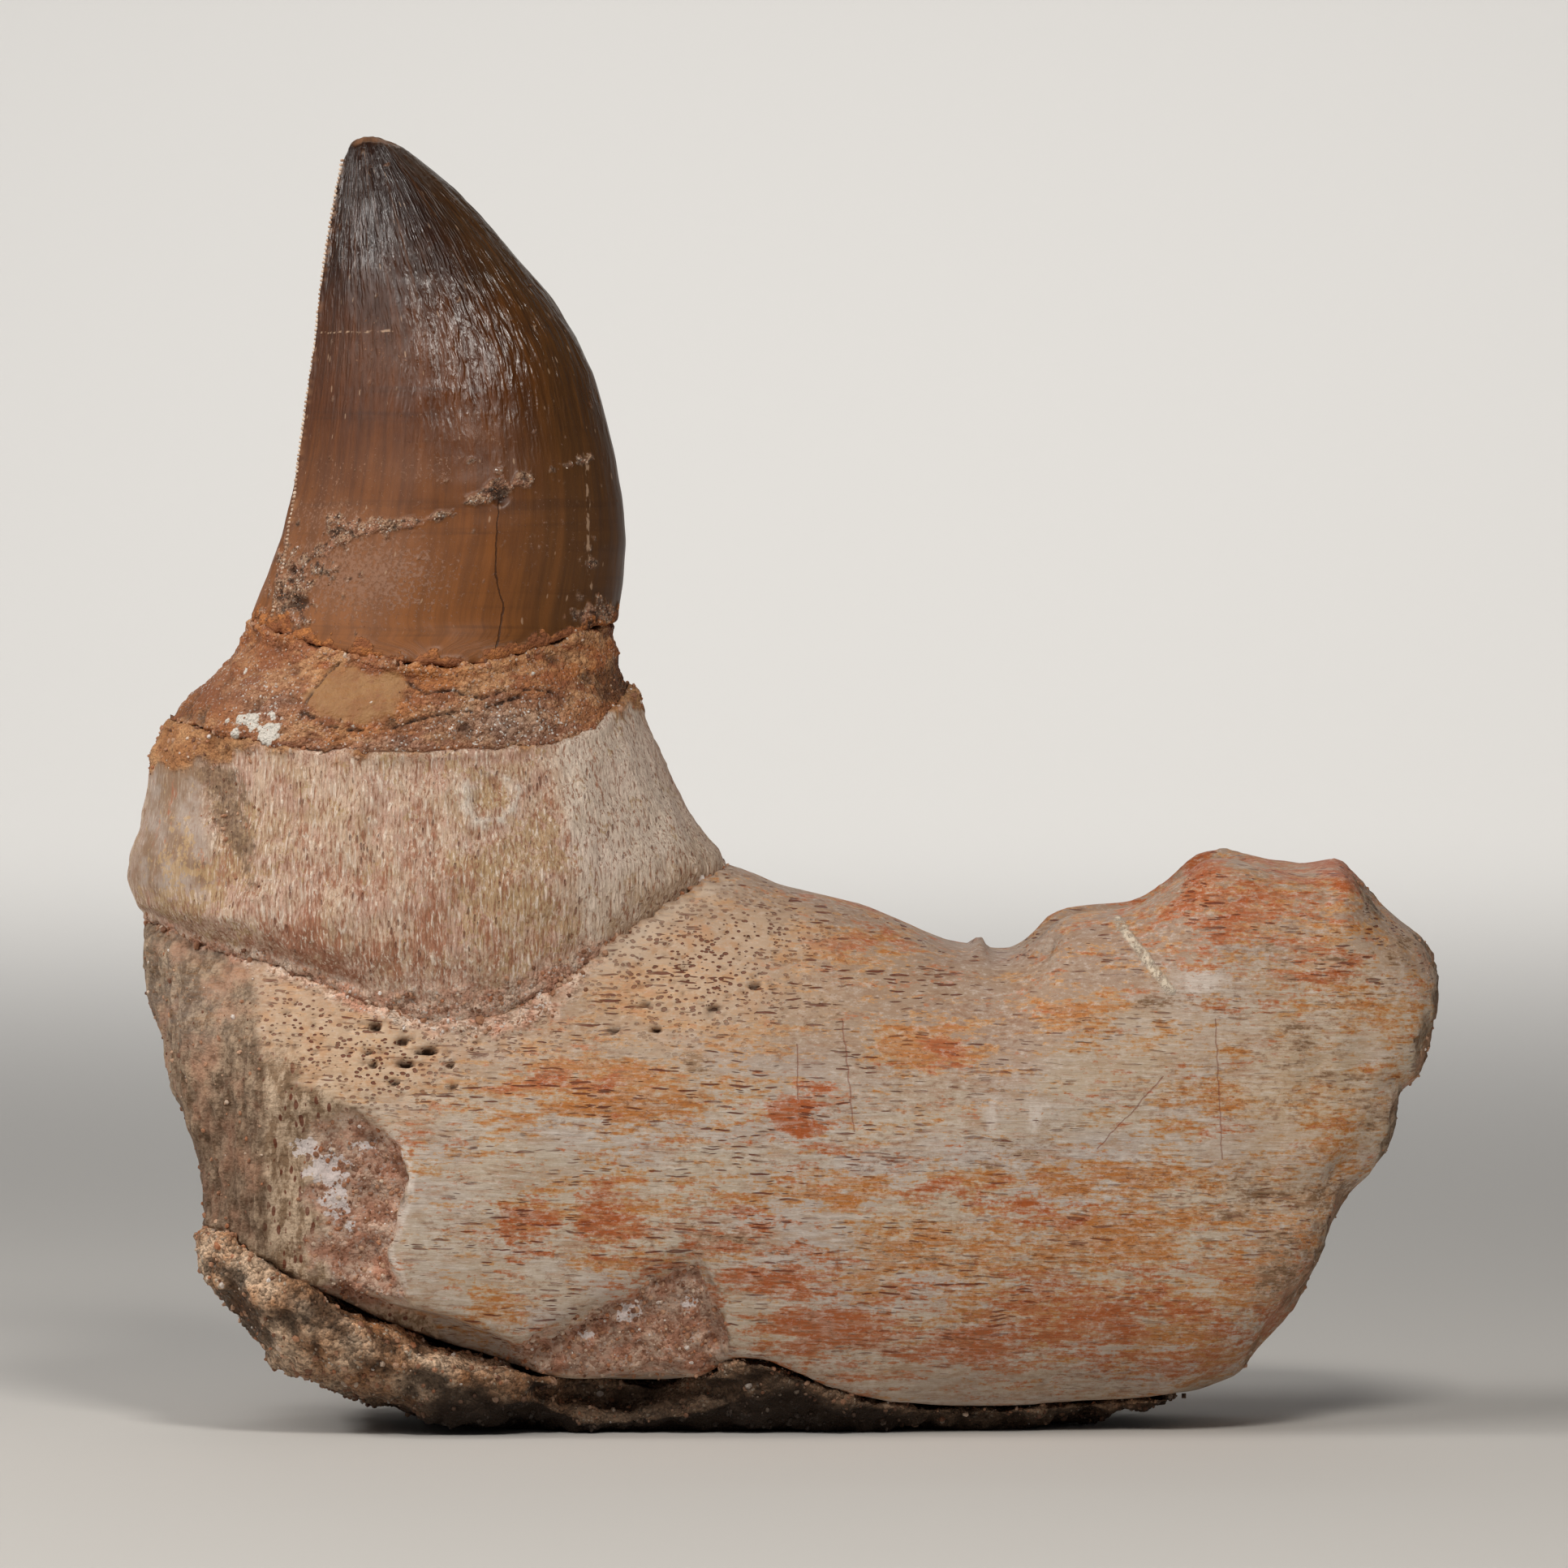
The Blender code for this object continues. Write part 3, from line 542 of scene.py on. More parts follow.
# Its parts: the broken ends, the flaked patches, the seam to the root and the porous bone
front = rise(0.15, 0.5, -outward[:, 1])
edge_waver = lumps(points, 2.5, 71, 3)
from_corner = x - along(LEFT_CORNER, z) + 0.5 * lumps(points, 3.0, 91, 3)
facing_left = rise(0.5, 0.8, -outward[:, 0] + 0.3 * lumps(points, 2.4, 92, 3))
left_end = np.maximum(1 - rise(-0.7, 0.7, from_corner), facing_left) * (1 - rise(20, 30, x))
right_end = rise(0.66, 0.9, outward[:, 0] + 0.2 * edge_waver) * rise(20, 30, x)
left_patch = 1 - rise(-0.35, 0.35, x - along(PLATE_EDGE, z) + 0.6 * edge_waver)
left_patch *= rise(11, 13.5, z) * (1 - rise(27, 31, z + 1.5 * lumps(points, 2.2, 72, 3))) * front
left_patch *= rise(-0.4, 1.6, from_corner - 3.5 + 2 * lumps(points, 2.4, 73, 3))
beside_patch = 1 - rise(-0.6, 0.6, x - along(PLATE_EDGE, z) + 1.2 * lumps(points, 2.2, 78, 3))
beside_patch *= rise(7, 10, z) * front * (1 - rise(33, 38, z)) * (1 - left_patch)
low_patch = 1 - rise(-0.7, 0.5, z - along(FLAKE_EDGE, x) + 1.4 * lumps(points, 2.5, 23, 4))
low_patch *= rise(-26, -23.5, x) * (1 - rise(-6.6, -4.0, x + 1.6 * lumps(points, 2.2, 24, 4))) * front
bare = np.maximum(left_patch, low_patch)
to_root = distance_between(points, "tooth_root", 6.0)
seam_wide = 0.7 + 3.4 * blots(x, z, [(-27, 40, 9, 4, 1)]) + 0.8 * blots(x, z, [(-44, 43, 8, 3, 1)])
seam = 1 - rise(0.4, 1.0, to_root / seam_wide + 0.5 * lumps(points, 1.6, 50, 4))
seam *= (1 - rise(-19, -14, x)) * front
porous = np.clip(blots(x, z, POROUS_PARTS), 0, 1) * (1 - left_patch)
broken = np.clip(left_end + right_end, 0, 1)
# Its relief, part by part
height = 0.1 * lumps(points, 8, 2) + 0.05 * lumps(points, 1.4, 8, 3, (5, 1, 1)) * (1 - broken)
height += beside_patch * (0.3 * lumps(points, 1.1, 79, 4, (0.8, 1, 2)) - 0.1)
height += bare * (0.42 * lumps(points, 1.9, 31, 4) + 0.22 * lumps(points, 0.9, 37) - 0.45)
height += left_end * (0.34 * lumps(points, 1.1, 41, 4, (1, 1, 3)) + 0.25 * lumps(points, 5, 47))
end_pits = broken * (1 - rise(0.16, 0.42, hole_distance(points, 2.0, 17) + 0.25 * lumps(points, 1.2, 19, 3)))
height -= end_pits * (0.5 - 0.28 * left_end)
height += right_end * (0.3 * lumps(points, 3.2, 61, 4) + 0.15 * lumps(points, 1.1, 67))
height += seam * (0.32 * lumps(points, 1.3, 52, 4) + 0.15)
height -= 0.9 * blots(x, z, [(-54, 22, 5, 6, 1)]) * left_end
holes = hole_distance(points, 0.95, 12, (1.4, 1, 0.8))
small_holes = (1 - rise(0.1, 0.34, holes + 0.2 * lumps(points, 0.7, 13, 2))) * porous * front * (1 - seam)
height -= 0.4 * small_holes
dug = np.zeros(len(x))
for hole_x, hole_z, half_length, half_height, depth in VESSEL_HOLES:
    off = np.hypot((x - hole_x) / half_length, (z - hole_z) / half_height)
    off += 0.3 * lumps(points, 0.6, hole_x, 2)
    dug = np.maximum(dug, depth * (1 - rise(0.45, 1.2, off)) * front)
height -= dug
from_plate = (x - along(PLATE_EDGE, z) - 0.5) / 0.6
plate_rim = np.exp(-(from_plate**2)) * rise(12, 15, z) * (1 - rise(27, 30, z)) * front
height += 0.24 * plate_rim
height += (0.3 + 0.45 * rise(-22, -14, x)) * (1 - rise(0.4, 1.2, to_root))
height -= 0.2 * blots(x, z, [(-0.5, 50.6, 3.5, 2, 1)])
height += 1.2 * blots(x, z, [(18.2, 44.7, 0.5, 0.9, 1)])
meets_stone = (1 - rise(0.5, 1.6, distance_between(points, "base_stone", 3.0))) * (1 - rise(-44, -40, x))
height += 0.45 * meets_stone
carve(jaw_bone, points, outward, height)
# Where each part lies, kept for the finish and the loose grains
paint(jaw_bone, "bare", bare)
paint(jaw_bone, "beside_patch", beside_patch)
paint(jaw_bone, "ends", broken)
paint(jaw_bone, "seam", np.clip(seam, 0, 1))
paint(jaw_bone, "porous", porous * np.maximum(front, 0.3))
paint(jaw_bone, "holey", 1 - 0.85 * blots(x, z, DENSE_PARTS))
# Painted shade: the dug vessel holes are darkened almost black, and the small pits more faintly
paint(jaw_bone, "hole", np.clip(dug * 1.3 + 0.35 * small_holes, 0, 1))
behind = 0.55 * rise(0.0, 0.5, lumps(points, 14, 88, 3, (2, 1, 0.6))) * (1 - front)
ragged_x = x + 2.4 * lumps(points, 5.0, 101, 4)
ragged_z = z + 1.1 * lumps(points, 3.5, 103, 4)
face_and_top = rise(-0.45, 0.1, -outward[:, 1])
paint(jaw_bone, "ochre", (0.98 * blots(ragged_x, ragged_z, OCHRE_STAINS) + 0.17) * face_and_top + behind)
paint(jaw_bone, "rust", (1.15 * blots(ragged_x, ragged_z, RUST_STAINS) + 0.05) * face_and_top + behind * 0.9)
paint(jaw_bone, "brown", blots(ragged_x, ragged_z, BROWN_STAINS) * face_and_top + 0.2 * right_end - 0.2)
paint(jaw_bone, "yellow", np.clip(blots(x, z, YELLOW_PARTS), 0, 1))
paint(jaw_bone, "chalk", 1.15 * blots(x, z, CHALK_CHIPS) * front)
# Painted shade: the low places of the flaked patches, broken ends and seam are darkened in the finish
paint(jaw_bone, "hollow", rise(0.05, -0.6, height) * np.clip(bare + broken + 0.4 * seam, 0, 1))
paint(jaw_bone, "pale", np.maximum(blots(x, z, PALE_SPOTS) * front, 0.95 * plate_rim))
paint(jaw_bone, "crest", rise(-0.02, 0.5, outward[:, 2]) * (1 - broken))
front_and_top = np.maximum(front, rise(0.2, 0.6, outward[:, 2]))
gap = (1 - rise(0.25, 0.85, to_root)) * (1 - 0.85 * rise(-17, -12, x)) * front_and_top
paint(jaw_bone, "gap", gap * well_inside(points))
near_root = rise(-22, -14, x) * (1 - rise(0.3, 3.6, to_root + 1.8 * lumps(points, 2.2, 99, 4)))
paint(jaw_bone, "near_root", near_root * front)
paint(jaw_bone, "grainy", np.clip(bare + 0.8 * seam + 0.12 * broken, 0, 1) * well_inside(points))

material, tree, shader, place = new_finish("jaw_bone", Specular_IOR_Level=0.22)
# The bone's grain dips a little towards the foot of the tooth
dip = {"Vector": place, "Rotation": (0.0, math.radians(-1.5), 0.0)}
along_grain = put(tree, "ShaderNodeMapping", dip).outputs[0]
fibres = speckle(tree, along_grain, (2.8, 1.2, 0.3), 2, 4, 0.66)
# Bone colour with its fibres
colour = fade(tree, JAW_CREAM, JAW_GREY, speckle(tree, place, (14.0, 8.0, 6.0), 7), 0.38, 0.62)
tan_clouds = speckle(tree, along_grain, (6.0, 3.0, 1.6), 21, 7, 0.72)
colour = fade(tree, colour, JAW_TAN, tan_clouds, 0.5, 0.64, 0.0, 0.8)
colour = tinge(tree, colour, YELLOW_BONE, "yellow", 0.7)
weathering = between(tree, speckle(tree, place, (12.0, 8.0, 5.0), 64, 4, 0.6), 0.42, 0.58, 0.3, 1.0)
dark_fibres = sums(tree, "MULTIPLY", weathering, between(tree, fibres, 0.34, 0.5, 0.75, 0.0))
colour = blend(tree, dark_fibres, colour, JAW_PINK)
colour = fade(tree, colour, CHALK_WHITE, fibres, 0.52, 0.68, 0.0, 0.45)
pale_noise = sums(tree, "SUBTRACT", speckle(tree, place, (0.9, 1.0, 2.2), 61), 0.5)
pale_edge = sums(tree, "ADD", painted(tree, "pale"), pale_noise)
colour = fade(tree, colour, CHALK_WHITE, pale_edge, 0.35, 0.8, 0.0, 0.65)
colour = tinge(tree, colour, CREST_BROWN, "crest", 0.72)
# Iron stains, thinner on the clean fibres
stains = (("ochre", PALE_OCHRE, OCHRE), ("rust", RUST_PINK, RUST), ("brown", JAW_TAN, STAIN_OLIVE))
for seed, (name, thin_stain, full_stain) in enumerate(stains):
    stain = use(tree, streaky_stain, Place=along_grain, Strength=painted(tree, name), Seed=seed * 3.7)
    clean_fibres = between(tree, fibres, 0.42, 0.58, 0.95, 0.45)
    colour = blend(tree, sums(tree, "MULTIPLY", stain["Pale"], clean_fibres), colour, thin_stain)
    colour = blend(tree, sums(tree, "MULTIPLY", stain["Deep"], clean_fibres), colour, full_stain)
    stain_specks = speckle(tree, along_grain, (0.5, 0.5, 0.26), 80 + seed, 3, 0.7)
    stain_specks = between(tree, stain_specks, 0.34, 0.46, 0.7, 0.0)
    colour = blend(tree, sums(tree, "MULTIPLY", stain["Deep"], stain_specks), colour, STAIN_BROWN)
# Dirt, painted shade that darkens the bone towards its foot, and vessel holes where the skin is whole
grit = speckle(tree, place, (0.8, 0.6, 0.4), 51, 4, 0.75)
dark_grit = sums(tree, "MULTIPLY", weathering, between(tree, grit, 0.34, 0.5, 0.6, 0.0))
colour = blend(tree, dark_grit, colour, GRIT_DARK)
colour = fade(tree, colour, CHALK_WHITE, grit, 0.52, 0.66, 0.0, 0.35)
# Painted shade: darker towards the bottom of the bone
foot = between(tree, put(tree, "ShaderNodeSeparateXYZ", {0: place}).outputs[2], 0.001, 0.024, 0.3, 0.0)
colour = blend(tree, foot, colour, FOOT_SHADE)
whole_skin = sums(tree, "SUBTRACT", 1.0, sums(tree, "MAXIMUM", painted(tree, "bare"), painted(tree, "ends")))
long_holes = holes_in(tree, along_grain, (2.4, 1.1, 0.23), 0.42, 0.24)
fine_holes = holes_in(tree, along_grain, (1.5, 0.8, 0.19), 0.4, 0.22)
round_holes = holes_in(tree, place, (0.56, 0.5, 0.34), 0.42, 0.75)
hole_clouds = between(tree, speckle(tree, place, (9.0, 6.0, 4.0), 55, 4, 0.6), 0.4, 0.6)
crowding = sums(tree, "MULTIPLY", hole_clouds, painted(tree, "holey"))
slots = sums(tree, "MULTIPLY", sums(tree, "MAXIMUM", long_holes, fine_holes), crowding)
holes_here = sums(tree, "MAXIMUM", slots, sums(tree, "MULTIPLY", round_holes, painted(tree, "porous")))
holes_here = sums(tree, "MULTIPLY", holes_here, whole_skin)
holes_here = sums(tree, "MULTIPLY", holes_here, sums(tree, "SUBTRACT", 1.0, painted(tree, "beside_patch")))
colour = tinge(tree, colour, POROUS_TAN, "porous", 0.5)
tinted = between(tree, speckle(tree, place, 1.6, 58, 5, 0.7), 0.48, 0.62, 0.0, 0.75)
colour = tinge(tree, colour, POROUS_ORANGE, "porous", tinted)
colour = tinge(tree, colour, NEAR_ROOT_CREAM, "near_root", 0.7)
colour = tinge(tree, colour, PORE_DARK, holes_here, 0.9)
# Inner bone beside the left patch and at the broken ends, and host rock in the patches and the seam
upright_slots = holes_in(tree, place, (0.5, 0.6, 1.1), 0.42, 0.55)
upright_streaks = speckle(tree, place, (1.0, 1.0, 2.6), 27, 6, 0.7)
fibrous = fade(tree, FIBROUS_BROWN, FIBROUS_TAN, upright_streaks, 0.42, 0.58)
fibrous = tinge(tree, fibrous, PORE_DARK, upright_slots, 0.85)
colour = blend(tree, painted(tree, "beside_patch"), colour, fibrous)
end_streaks = speckle(tree, place, (1.1, 1.1, 2.2), 13, 7, 0.72)
end_colour = fade(tree, BROKEN_BROWN, BROKEN_TAN, end_streaks, 0.42, 0.6)
end_colour = fade(tree, end_colour, JAW_PINK, speckle(tree, place, 4.0, 17), 0.48, 0.68, 0.0, 0.8)
colour = tinge(tree, colour, end_colour, "ends", 0.8)
sand = use(tree, set_sand, Place=place, Grain=0.5)
matrix = packed_sand(tree, place, sand)
matrix = tinge(tree, matrix, MATRIX_RED, "bare", 0.3)
matrix_here = sums(tree, "MAXIMUM", painted(tree, "bare"), painted(tree, "seam"))
colour = blend(tree, matrix_here, colour, matrix)
# Fine cracks, the scratch, painted shade in the deep holes and low places, and white chips
cracks = lines_between(tree, place, JAW_HAIRLINES)
colour = tinge(tree, colour, HAIRLINE_RED, cracks, 0.55)
scratch_wear = between(tree, speckle(tree, place, (0.6, 0.6, 0.9), 44, 4, 0.7), 0.34, 0.56, 0.25, 1.0)
scratch = sums(tree, "MULTIPLY", lines_between(tree, place, JAW_SCRATCH), scratch_wear)
colour = tinge(tree, colour, SCRATCH_CREAM, scratch, 0.85)
colour = tinge(tree, colour, HOLE_SHADE, "hole", 0.9)
colour = tinge(tree, colour, HOLLOW_SHADE, "hollow", 0.42)
chalk_noise = sums(tree, "SUBTRACT", speckle(tree, place, 0.9, 6, 3, 0.6), 0.5)
chalk_edge = sums(tree, "MULTIPLY_ADD", chalk_noise, 3.2, painted(tree, "chalk"))
chalk_near = between(tree, painted(tree, "chalk"), 0.15, 0.4)
chalk_here = sums(tree, "MULTIPLY", between(tree, chalk_edge, 0.6, 0.68), chalk_near)
colour = tinge(tree, colour, CHIP_WHITE, chalk_here, 0.8)
# Roughness and fine relief
broken_here = sums(tree, "MAXIMUM", painted(tree, "beside_patch"), painted(tree, "ends"))
rough_here = sums(tree, "MAXIMUM", matrix_here, broken_here)
jaw_roughness = sums(tree, "MULTIPLY_ADD", fibres, 0.3, between(tree, rough_here, 0.0, 1.0, 0.4, 0.65))
sandy_height = sums(tree, "MULTIPLY", sums(tree, "ADD", sand["Height"], end_streaks), rough_here)
jaw_height = sums(tree, "SUBTRACT", sums(tree, "MULTIPLY_ADD", fibres, 0.6, sandy_height), holes_here)
jaw_height = sums(tree, "SUBTRACT", jaw_height, sums(tree, "MULTIPLY", cracks, 0.25))
jaw_height = sums(tree, "MULTIPLY_ADD", scratch, 1.3, jaw_height)
finish_with(tree, shader, colour, jaw_roughness, jaw_height, 0.16)
jaw_bone.data.materials.append(material)
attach(jaw_bone, "root")
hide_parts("jaw_bone")


# Tooth root
# The swollen root that fixes the crown in the jaw, of softer, pinkish bone built of upright fibres.
# It stands in the jaw in a U-shaped seam packed with sand, and at its right it runs into the jaw unbroken.

ROOT_CELL = 0.36
ROOT_CREAM = (0.76, 0.54, 0.39)
ROOT_PALE = (0.92, 0.79, 0.665)
ROOT_PINK = (0.66, 0.41, 0.305)
ROOT_BRIGHT = (0.95, 0.78, 0.64)
FIBRE_RED = (0.36, 0.15, 0.08)
ROOT_TAN = (0.60, 0.40, 0.235)
ROOT_OCHRE = (0.58, 0.38, 0.19)
PALE_RED = (0.50, 0.225, 0.13)
DEEP_RED = (0.42, 0.13, 0.06)
LOBE_GREY = (0.47, 0.365, 0.30)
LOBE_BROWN = (0.34, 0.215, 0.135)
NEAR_JAW_TAN = (0.66, 0.485, 0.34)
ROOT_HOLE = (0.24, 0.085, 0.045)
RING_CREAM = (0.92, 0.80, 0.69)
GROOVE_DARK = (0.11, 0.055, 0.028)
GROOVE_TAN = (0.46, 0.30, 0.18)
GRIT_BROWN = (0.32, 0.16, 0.09)
CEMENT_ORANGE = (0.58, 0.22, 0.066)
CEMENT_TAN = (0.66, 0.35, 0.165)
CEMENT_RUST = (0.45, 0.20, 0.08)

# Stains on the root as (x, z, half length, half height, strength)
ROOT_RED_STAINS = [(-42, 45, 7, 3, 1.1), (-33, 45, 8, 4, 0.8), (-37, 51, 9, 5, 0.4), (-25, 54, 5, 9, 0.3)]
ROOT_OCHRE_STAINS = [
    (-25, 51, 5, 6, 0.95), (-54, 50, 4, 3, 0.9), (-49.5, 52, 2.5, 5, 0.8), (-22, 44, 4, 2, 0.7),
    (-11, 47, 4, 3, 0.9), (-26.8, 58.7, 1.3, 1.3, 1.2),
]
# Line where the bone gives way to cement, as (x, z)
TOP_EDGE = [(-60, 60.6), (-52, 61.6), (-46, 63), (-40, 62.6), (-30, 63), (-22, 62.6), (-18, 66)]
# The groove at the left and the edge of the flatter right side, as (z, x)
GROOVE_LINE = [(49, -47.8), (56.8, -50.6), (61.5, -52)]
PLANE_LINE = [(46, -18.0), (62, -20.6), (70, -21)]

tooth_root = fine_copy("tooth_root", "tooth_root_skin", ROOT_CELL, 8)
points, outward = skin_of(tooth_root)
x, y, z = points.T
front = rise(0.0, 0.4, -outward[:, 1])
# Its parts: the smooth left lobe and groove, the flatter right side, a ring scar, the seam and the sandy top
to_jaw = distance_between(points, "jaw_bone", 6.0)
lobe = (1 - rise(-53.5, -51.5, x + 0.12 * (z - 56))) * rise(48, 51, z) * front
groove_x = along(GROOVE_LINE, z) + 0.5 * lumps(points, 2.5, 93, 3)
groove_width = 1.1 + 1.3 * rise(52, 60, z)
groove = np.exp(-(((x - groove_x) / groove_width) ** 2)) * rise(46.5, 56, z) * (1 - rise(60, 63.5, z)) * front
plane_edge = along(PLANE_LINE, z) + 0.8 * lumps(points, 3, 94, 3)
right_plane = rise(-0.9, 0.9, x - plane_edge) * front
ring_distance = np.abs(np.hypot(x + 26.6, z - 58.5) + 0.6 * lumps(points, 1.6, 95, 4) - 2.3)
ring = np.exp(-((ring_distance / 0.5) ** 2)) * rise(-0.35, 0.35, lumps(points, 1.3, 96, 4)) * front
seam_wide = 0.7 + 3.2 * blots(x, z, [(-27, 42, 9, 4, 1)]) + 1.0 * blots(x, z, [(-46, 46, 8, 3, 1)])
seam = 1 - rise(0.4, 1.0, to_jaw / seam_wide + 0.5 * lumps(points, 1.6, 50, 4))
seam *= 1 - rise(-19, -14, x)
sandy_top = rise(-0.3, 0.5, z - along(TOP_EDGE, x) + 1.3 * lumps(points, 2, 77, 4))
fibres = lumps(points, 0.9, 5, 3, (0.8, 0.8, 4.5))
height = 0.3 * lumps(points, 5, 15) + 0.12 * lumps(points, 1.8, 18, 3, (1, 1, 2))
height += 0.1 * fibres * (1 - 0.7 * lobe) - 0.35 * groove + 0.12 * right_plane
height += 0.2 * ring + seam * (0.32 * lumps(points, 1.3, 52, 4) + 0.15)
height += sandy_top * (0.3 * lumps(points, 1.4, 44, 4) + 0.1)
merging = rise(-22, -14, x) * front
height += (0.35 - 0.7 * merging) * (1 - rise(0.4, 1.3 + 1.2 * merging, to_jaw))
height += 0.35 * (1 - rise(0.4, 1.2, distance_between(points, "neck_collar", 2.0)))
height -= 1.1 * blots(x, z, [(-3.7, 52.6, 1.4, 1.3, 1)])
carve(tooth_root, points, outward, height)
paint(tooth_root, "seam", np.clip(seam, 0, 1))
paint(tooth_root, "lobe", lobe)
paint(tooth_root, "groove", groove)
paint(tooth_root, "right_plane", np.clip(right_plane + 0.25 * (1 - front), 0, 1))
paint(tooth_root, "ring", ring)
paint(tooth_root, "sandy_top", sandy_top)
paint(tooth_root, "red", blots(x, z, ROOT_RED_STAINS) * front)
paint(tooth_root, "ochre", blots(x, z, ROOT_OCHRE_STAINS))
near_jaw = merging * (1 - rise(0.6, 6.0, to_jaw + 2.4 * lumps(points, 2.5, 99, 4)))
paint(tooth_root, "near_jaw", near_jaw)
paint(tooth_root, "porous", blots(x, z, [(-9, 46, 5, 5, 1.0), (-16, 43, 5, 3, 0.8)]) * front)
grainy = np.clip(0.8 * seam + 0.5 * sandy_top + 0.3 * groove, 0, 1) * rise(0.3, 0.7, to_jaw)
paint(tooth_root, "grainy", grainy * well_inside(points))

material, tree, shader, place = new_finish("tooth_root", Specular_IOR_Level=0.28)
upright = speckle(tree, place, (0.25, 0.25, 1.5), 3, 4, 0.68, 0.5)
colour = fade(tree, ROOT_CREAM, ROOT_PINK, speckle(tree, place, (4.0, 4.0, 5.0), 8, 7, 0.72), 0.42, 0.58)
tan_clouds = speckle(tree, place, (5.0, 5.0, 3.5), 19, 7, 0.7)
colour = fade(tree, colour, ROOT_TAN, tan_clouds, 0.5, 0.62, 0.0, 0.65)
# Paler right side and ring, greyer lobe, and ochre and red stains
pale_plane = sums(tree, "MULTIPLY", painted(tree, "right_plane"), 0.7)
pale_share = sums(tree, "MAXIMUM", pale_plane, painted(tree, "ring"))
colour = blend(tree, pale_share, colour, ROOT_PALE)
lobe_colour = fade(tree, LOBE_GREY, LOBE_BROWN, speckle(tree, place, 3.0, 30, 5), 0.4, 0.62)
colour = blend(tree, painted(tree, "lobe"), colour, lobe_colour)
strength = painted(tree, "ochre")
ochre = use(tree, streaky_stain, Place=place, Patch=(0.003, 0.003, 0.003), Strength=strength, Seed=2.2)
colour = tinge(tree, colour, ROOT_OCHRE, ochre["Pale"], 0.7)
strength = painted(tree, "red")
red = use(tree, streaky_stain, Place=place, Patch=(0.0016, 0.0016, 0.005), Strength=strength, Seed=1.4)
colour = tinge(tree, colour, PALE_RED, red["Pale"], 0.6)
colour = tinge(tree, colour, DEEP_RED, red["Deep"], 0.5)
colour = tinge(tree, colour, NEAR_JAW_TAN, "near_jaw", 0.85)
# Bright and dark fibres with the small holes between them, faint on the lobe
quiet_lobe = sums(tree, "MULTIPLY_ADD", painted(tree, "lobe"), -0.75, 1.0)
colour = tinge(tree, colour, ROOT_BRIGHT, between(tree, upright, 0.53, 0.64), quiet_lobe)
dark_fibres = sums(tree, "MULTIPLY", between(tree, upright, 0.47, 0.37), quiet_lobe)
colour = tinge(tree, colour, FIBRE_RED, dark_fibres, 0.85)
upright_holes = holes_in(tree, place, (0.32, 0.5, 1.1), 0.36, 0.3)
round_holes = holes_in(tree, place, (0.8, 0.8, 0.58), 0.36, 0.55)
round_holes = sums(tree, "MULTIPLY", round_holes, painted(tree, "porous"))
crowding = between(tree, speckle(tree, place, (3.0, 3.0, 6.0), 57, 5, 0.65), 0.44, 0.58)
upright_holes = sums(tree, "MULTIPLY", upright_holes, sums(tree, "MULTIPLY", crowding, quiet_lobe))
holes_here = sums(tree, "MAXIMUM", upright_holes, round_holes)
colour = tinge(tree, colour, ROOT_HOLE, holes_here, 0.7)
colour = tinge(tree, colour, RING_CREAM, "ring", 0.45)
# Sand in the groove, the seam and the top
groove_noise = sums(tree, "SUBTRACT", speckle(tree, place, 0.9, 31, 5, 0.75), 0.5)
groove_edge = sums(tree, "MULTIPLY_ADD", groove_noise, 2.6, painted(tree, "groove"))
sand = use(tree, set_sand, Place=place, Grain=0.45)
groove_sand = blend(tree, sand["Tone"], GROOVE_DARK, GROOVE_TAN)
colour = fade(tree, colour, groove_sand, groove_edge, 0.3, 0.8, 0.0, 0.85)
matrix = packed_sand(tree, place, sand)
sandy = fade(tree, CEMENT_RUST, CEMENT_TAN, speckle(tree, place, 2.5, 12, 5), 0.4, 0.6)
sandy = fade(tree, sandy, STAIN_BROWN, sand["Tone"], 0.1, 0.7, 0.6, 0.0)
grit = speckle(tree, place, 0.45, 51, 4, 0.7)
colour = fade(tree, colour, GRIT_BROWN, grit, 0.3, 0.48, 0.4, 0.0)
colour = blend(tree, painted(tree, "sandy_top"), colour, sandy)
colour = blend(tree, painted(tree, "seam"), colour, matrix)
matrix_here = sums(tree, "MAXIMUM", painted(tree, "seam"), painted(tree, "sandy_top"))
root_roughness = sums(tree, "MULTIPLY_ADD", upright, 0.3, between(tree, matrix_here, 0.0, 1.0, 0.42, 0.66))
fibre_height = sums(tree, "MULTIPLY", upright, between(tree, painted(tree, "lobe"), 0.0, 1.0, 1.6, 0.5))
fibre_height = sums(tree, "SUBTRACT", fibre_height, holes_here)
root_height = sums(tree, "MULTIPLY_ADD", sand["Height"], matrix_here, fibre_height)
finish_with(tree, shader, colour, root_roughness, root_height, 0.24)
tooth_root.data.materials.append(material)
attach(tooth_root, "root")
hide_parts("tooth_root")


# Neck cement
# Sand and iron set hard in the waist between root and crown. One smooth pale patch in it is old filler,
# with cracks running round it, and small white chips of bone are caught in it.

COLLAR_CELL = 0.27
CEMENT_BROWN = (0.28, 0.095, 0.036)
CEMENT_RED = (0.37, 0.115, 0.045)
FILLER_TAN = (0.37, 0.185, 0.068)
FILLER_ORANGE = (0.31, 0.13, 0.043)
CRACK_AND_SHADE_DARK = (0.03, 0.012, 0.006)
SAND_BROWN = (0.12, 0.075, 0.055)
SAND_GREY = (0.50, 0.37, 0.29)
QUARTZ_WHITE = (0.78, 0.72, 0.66)
CHIP_CREAM = (0.76, 0.70, 0.62)
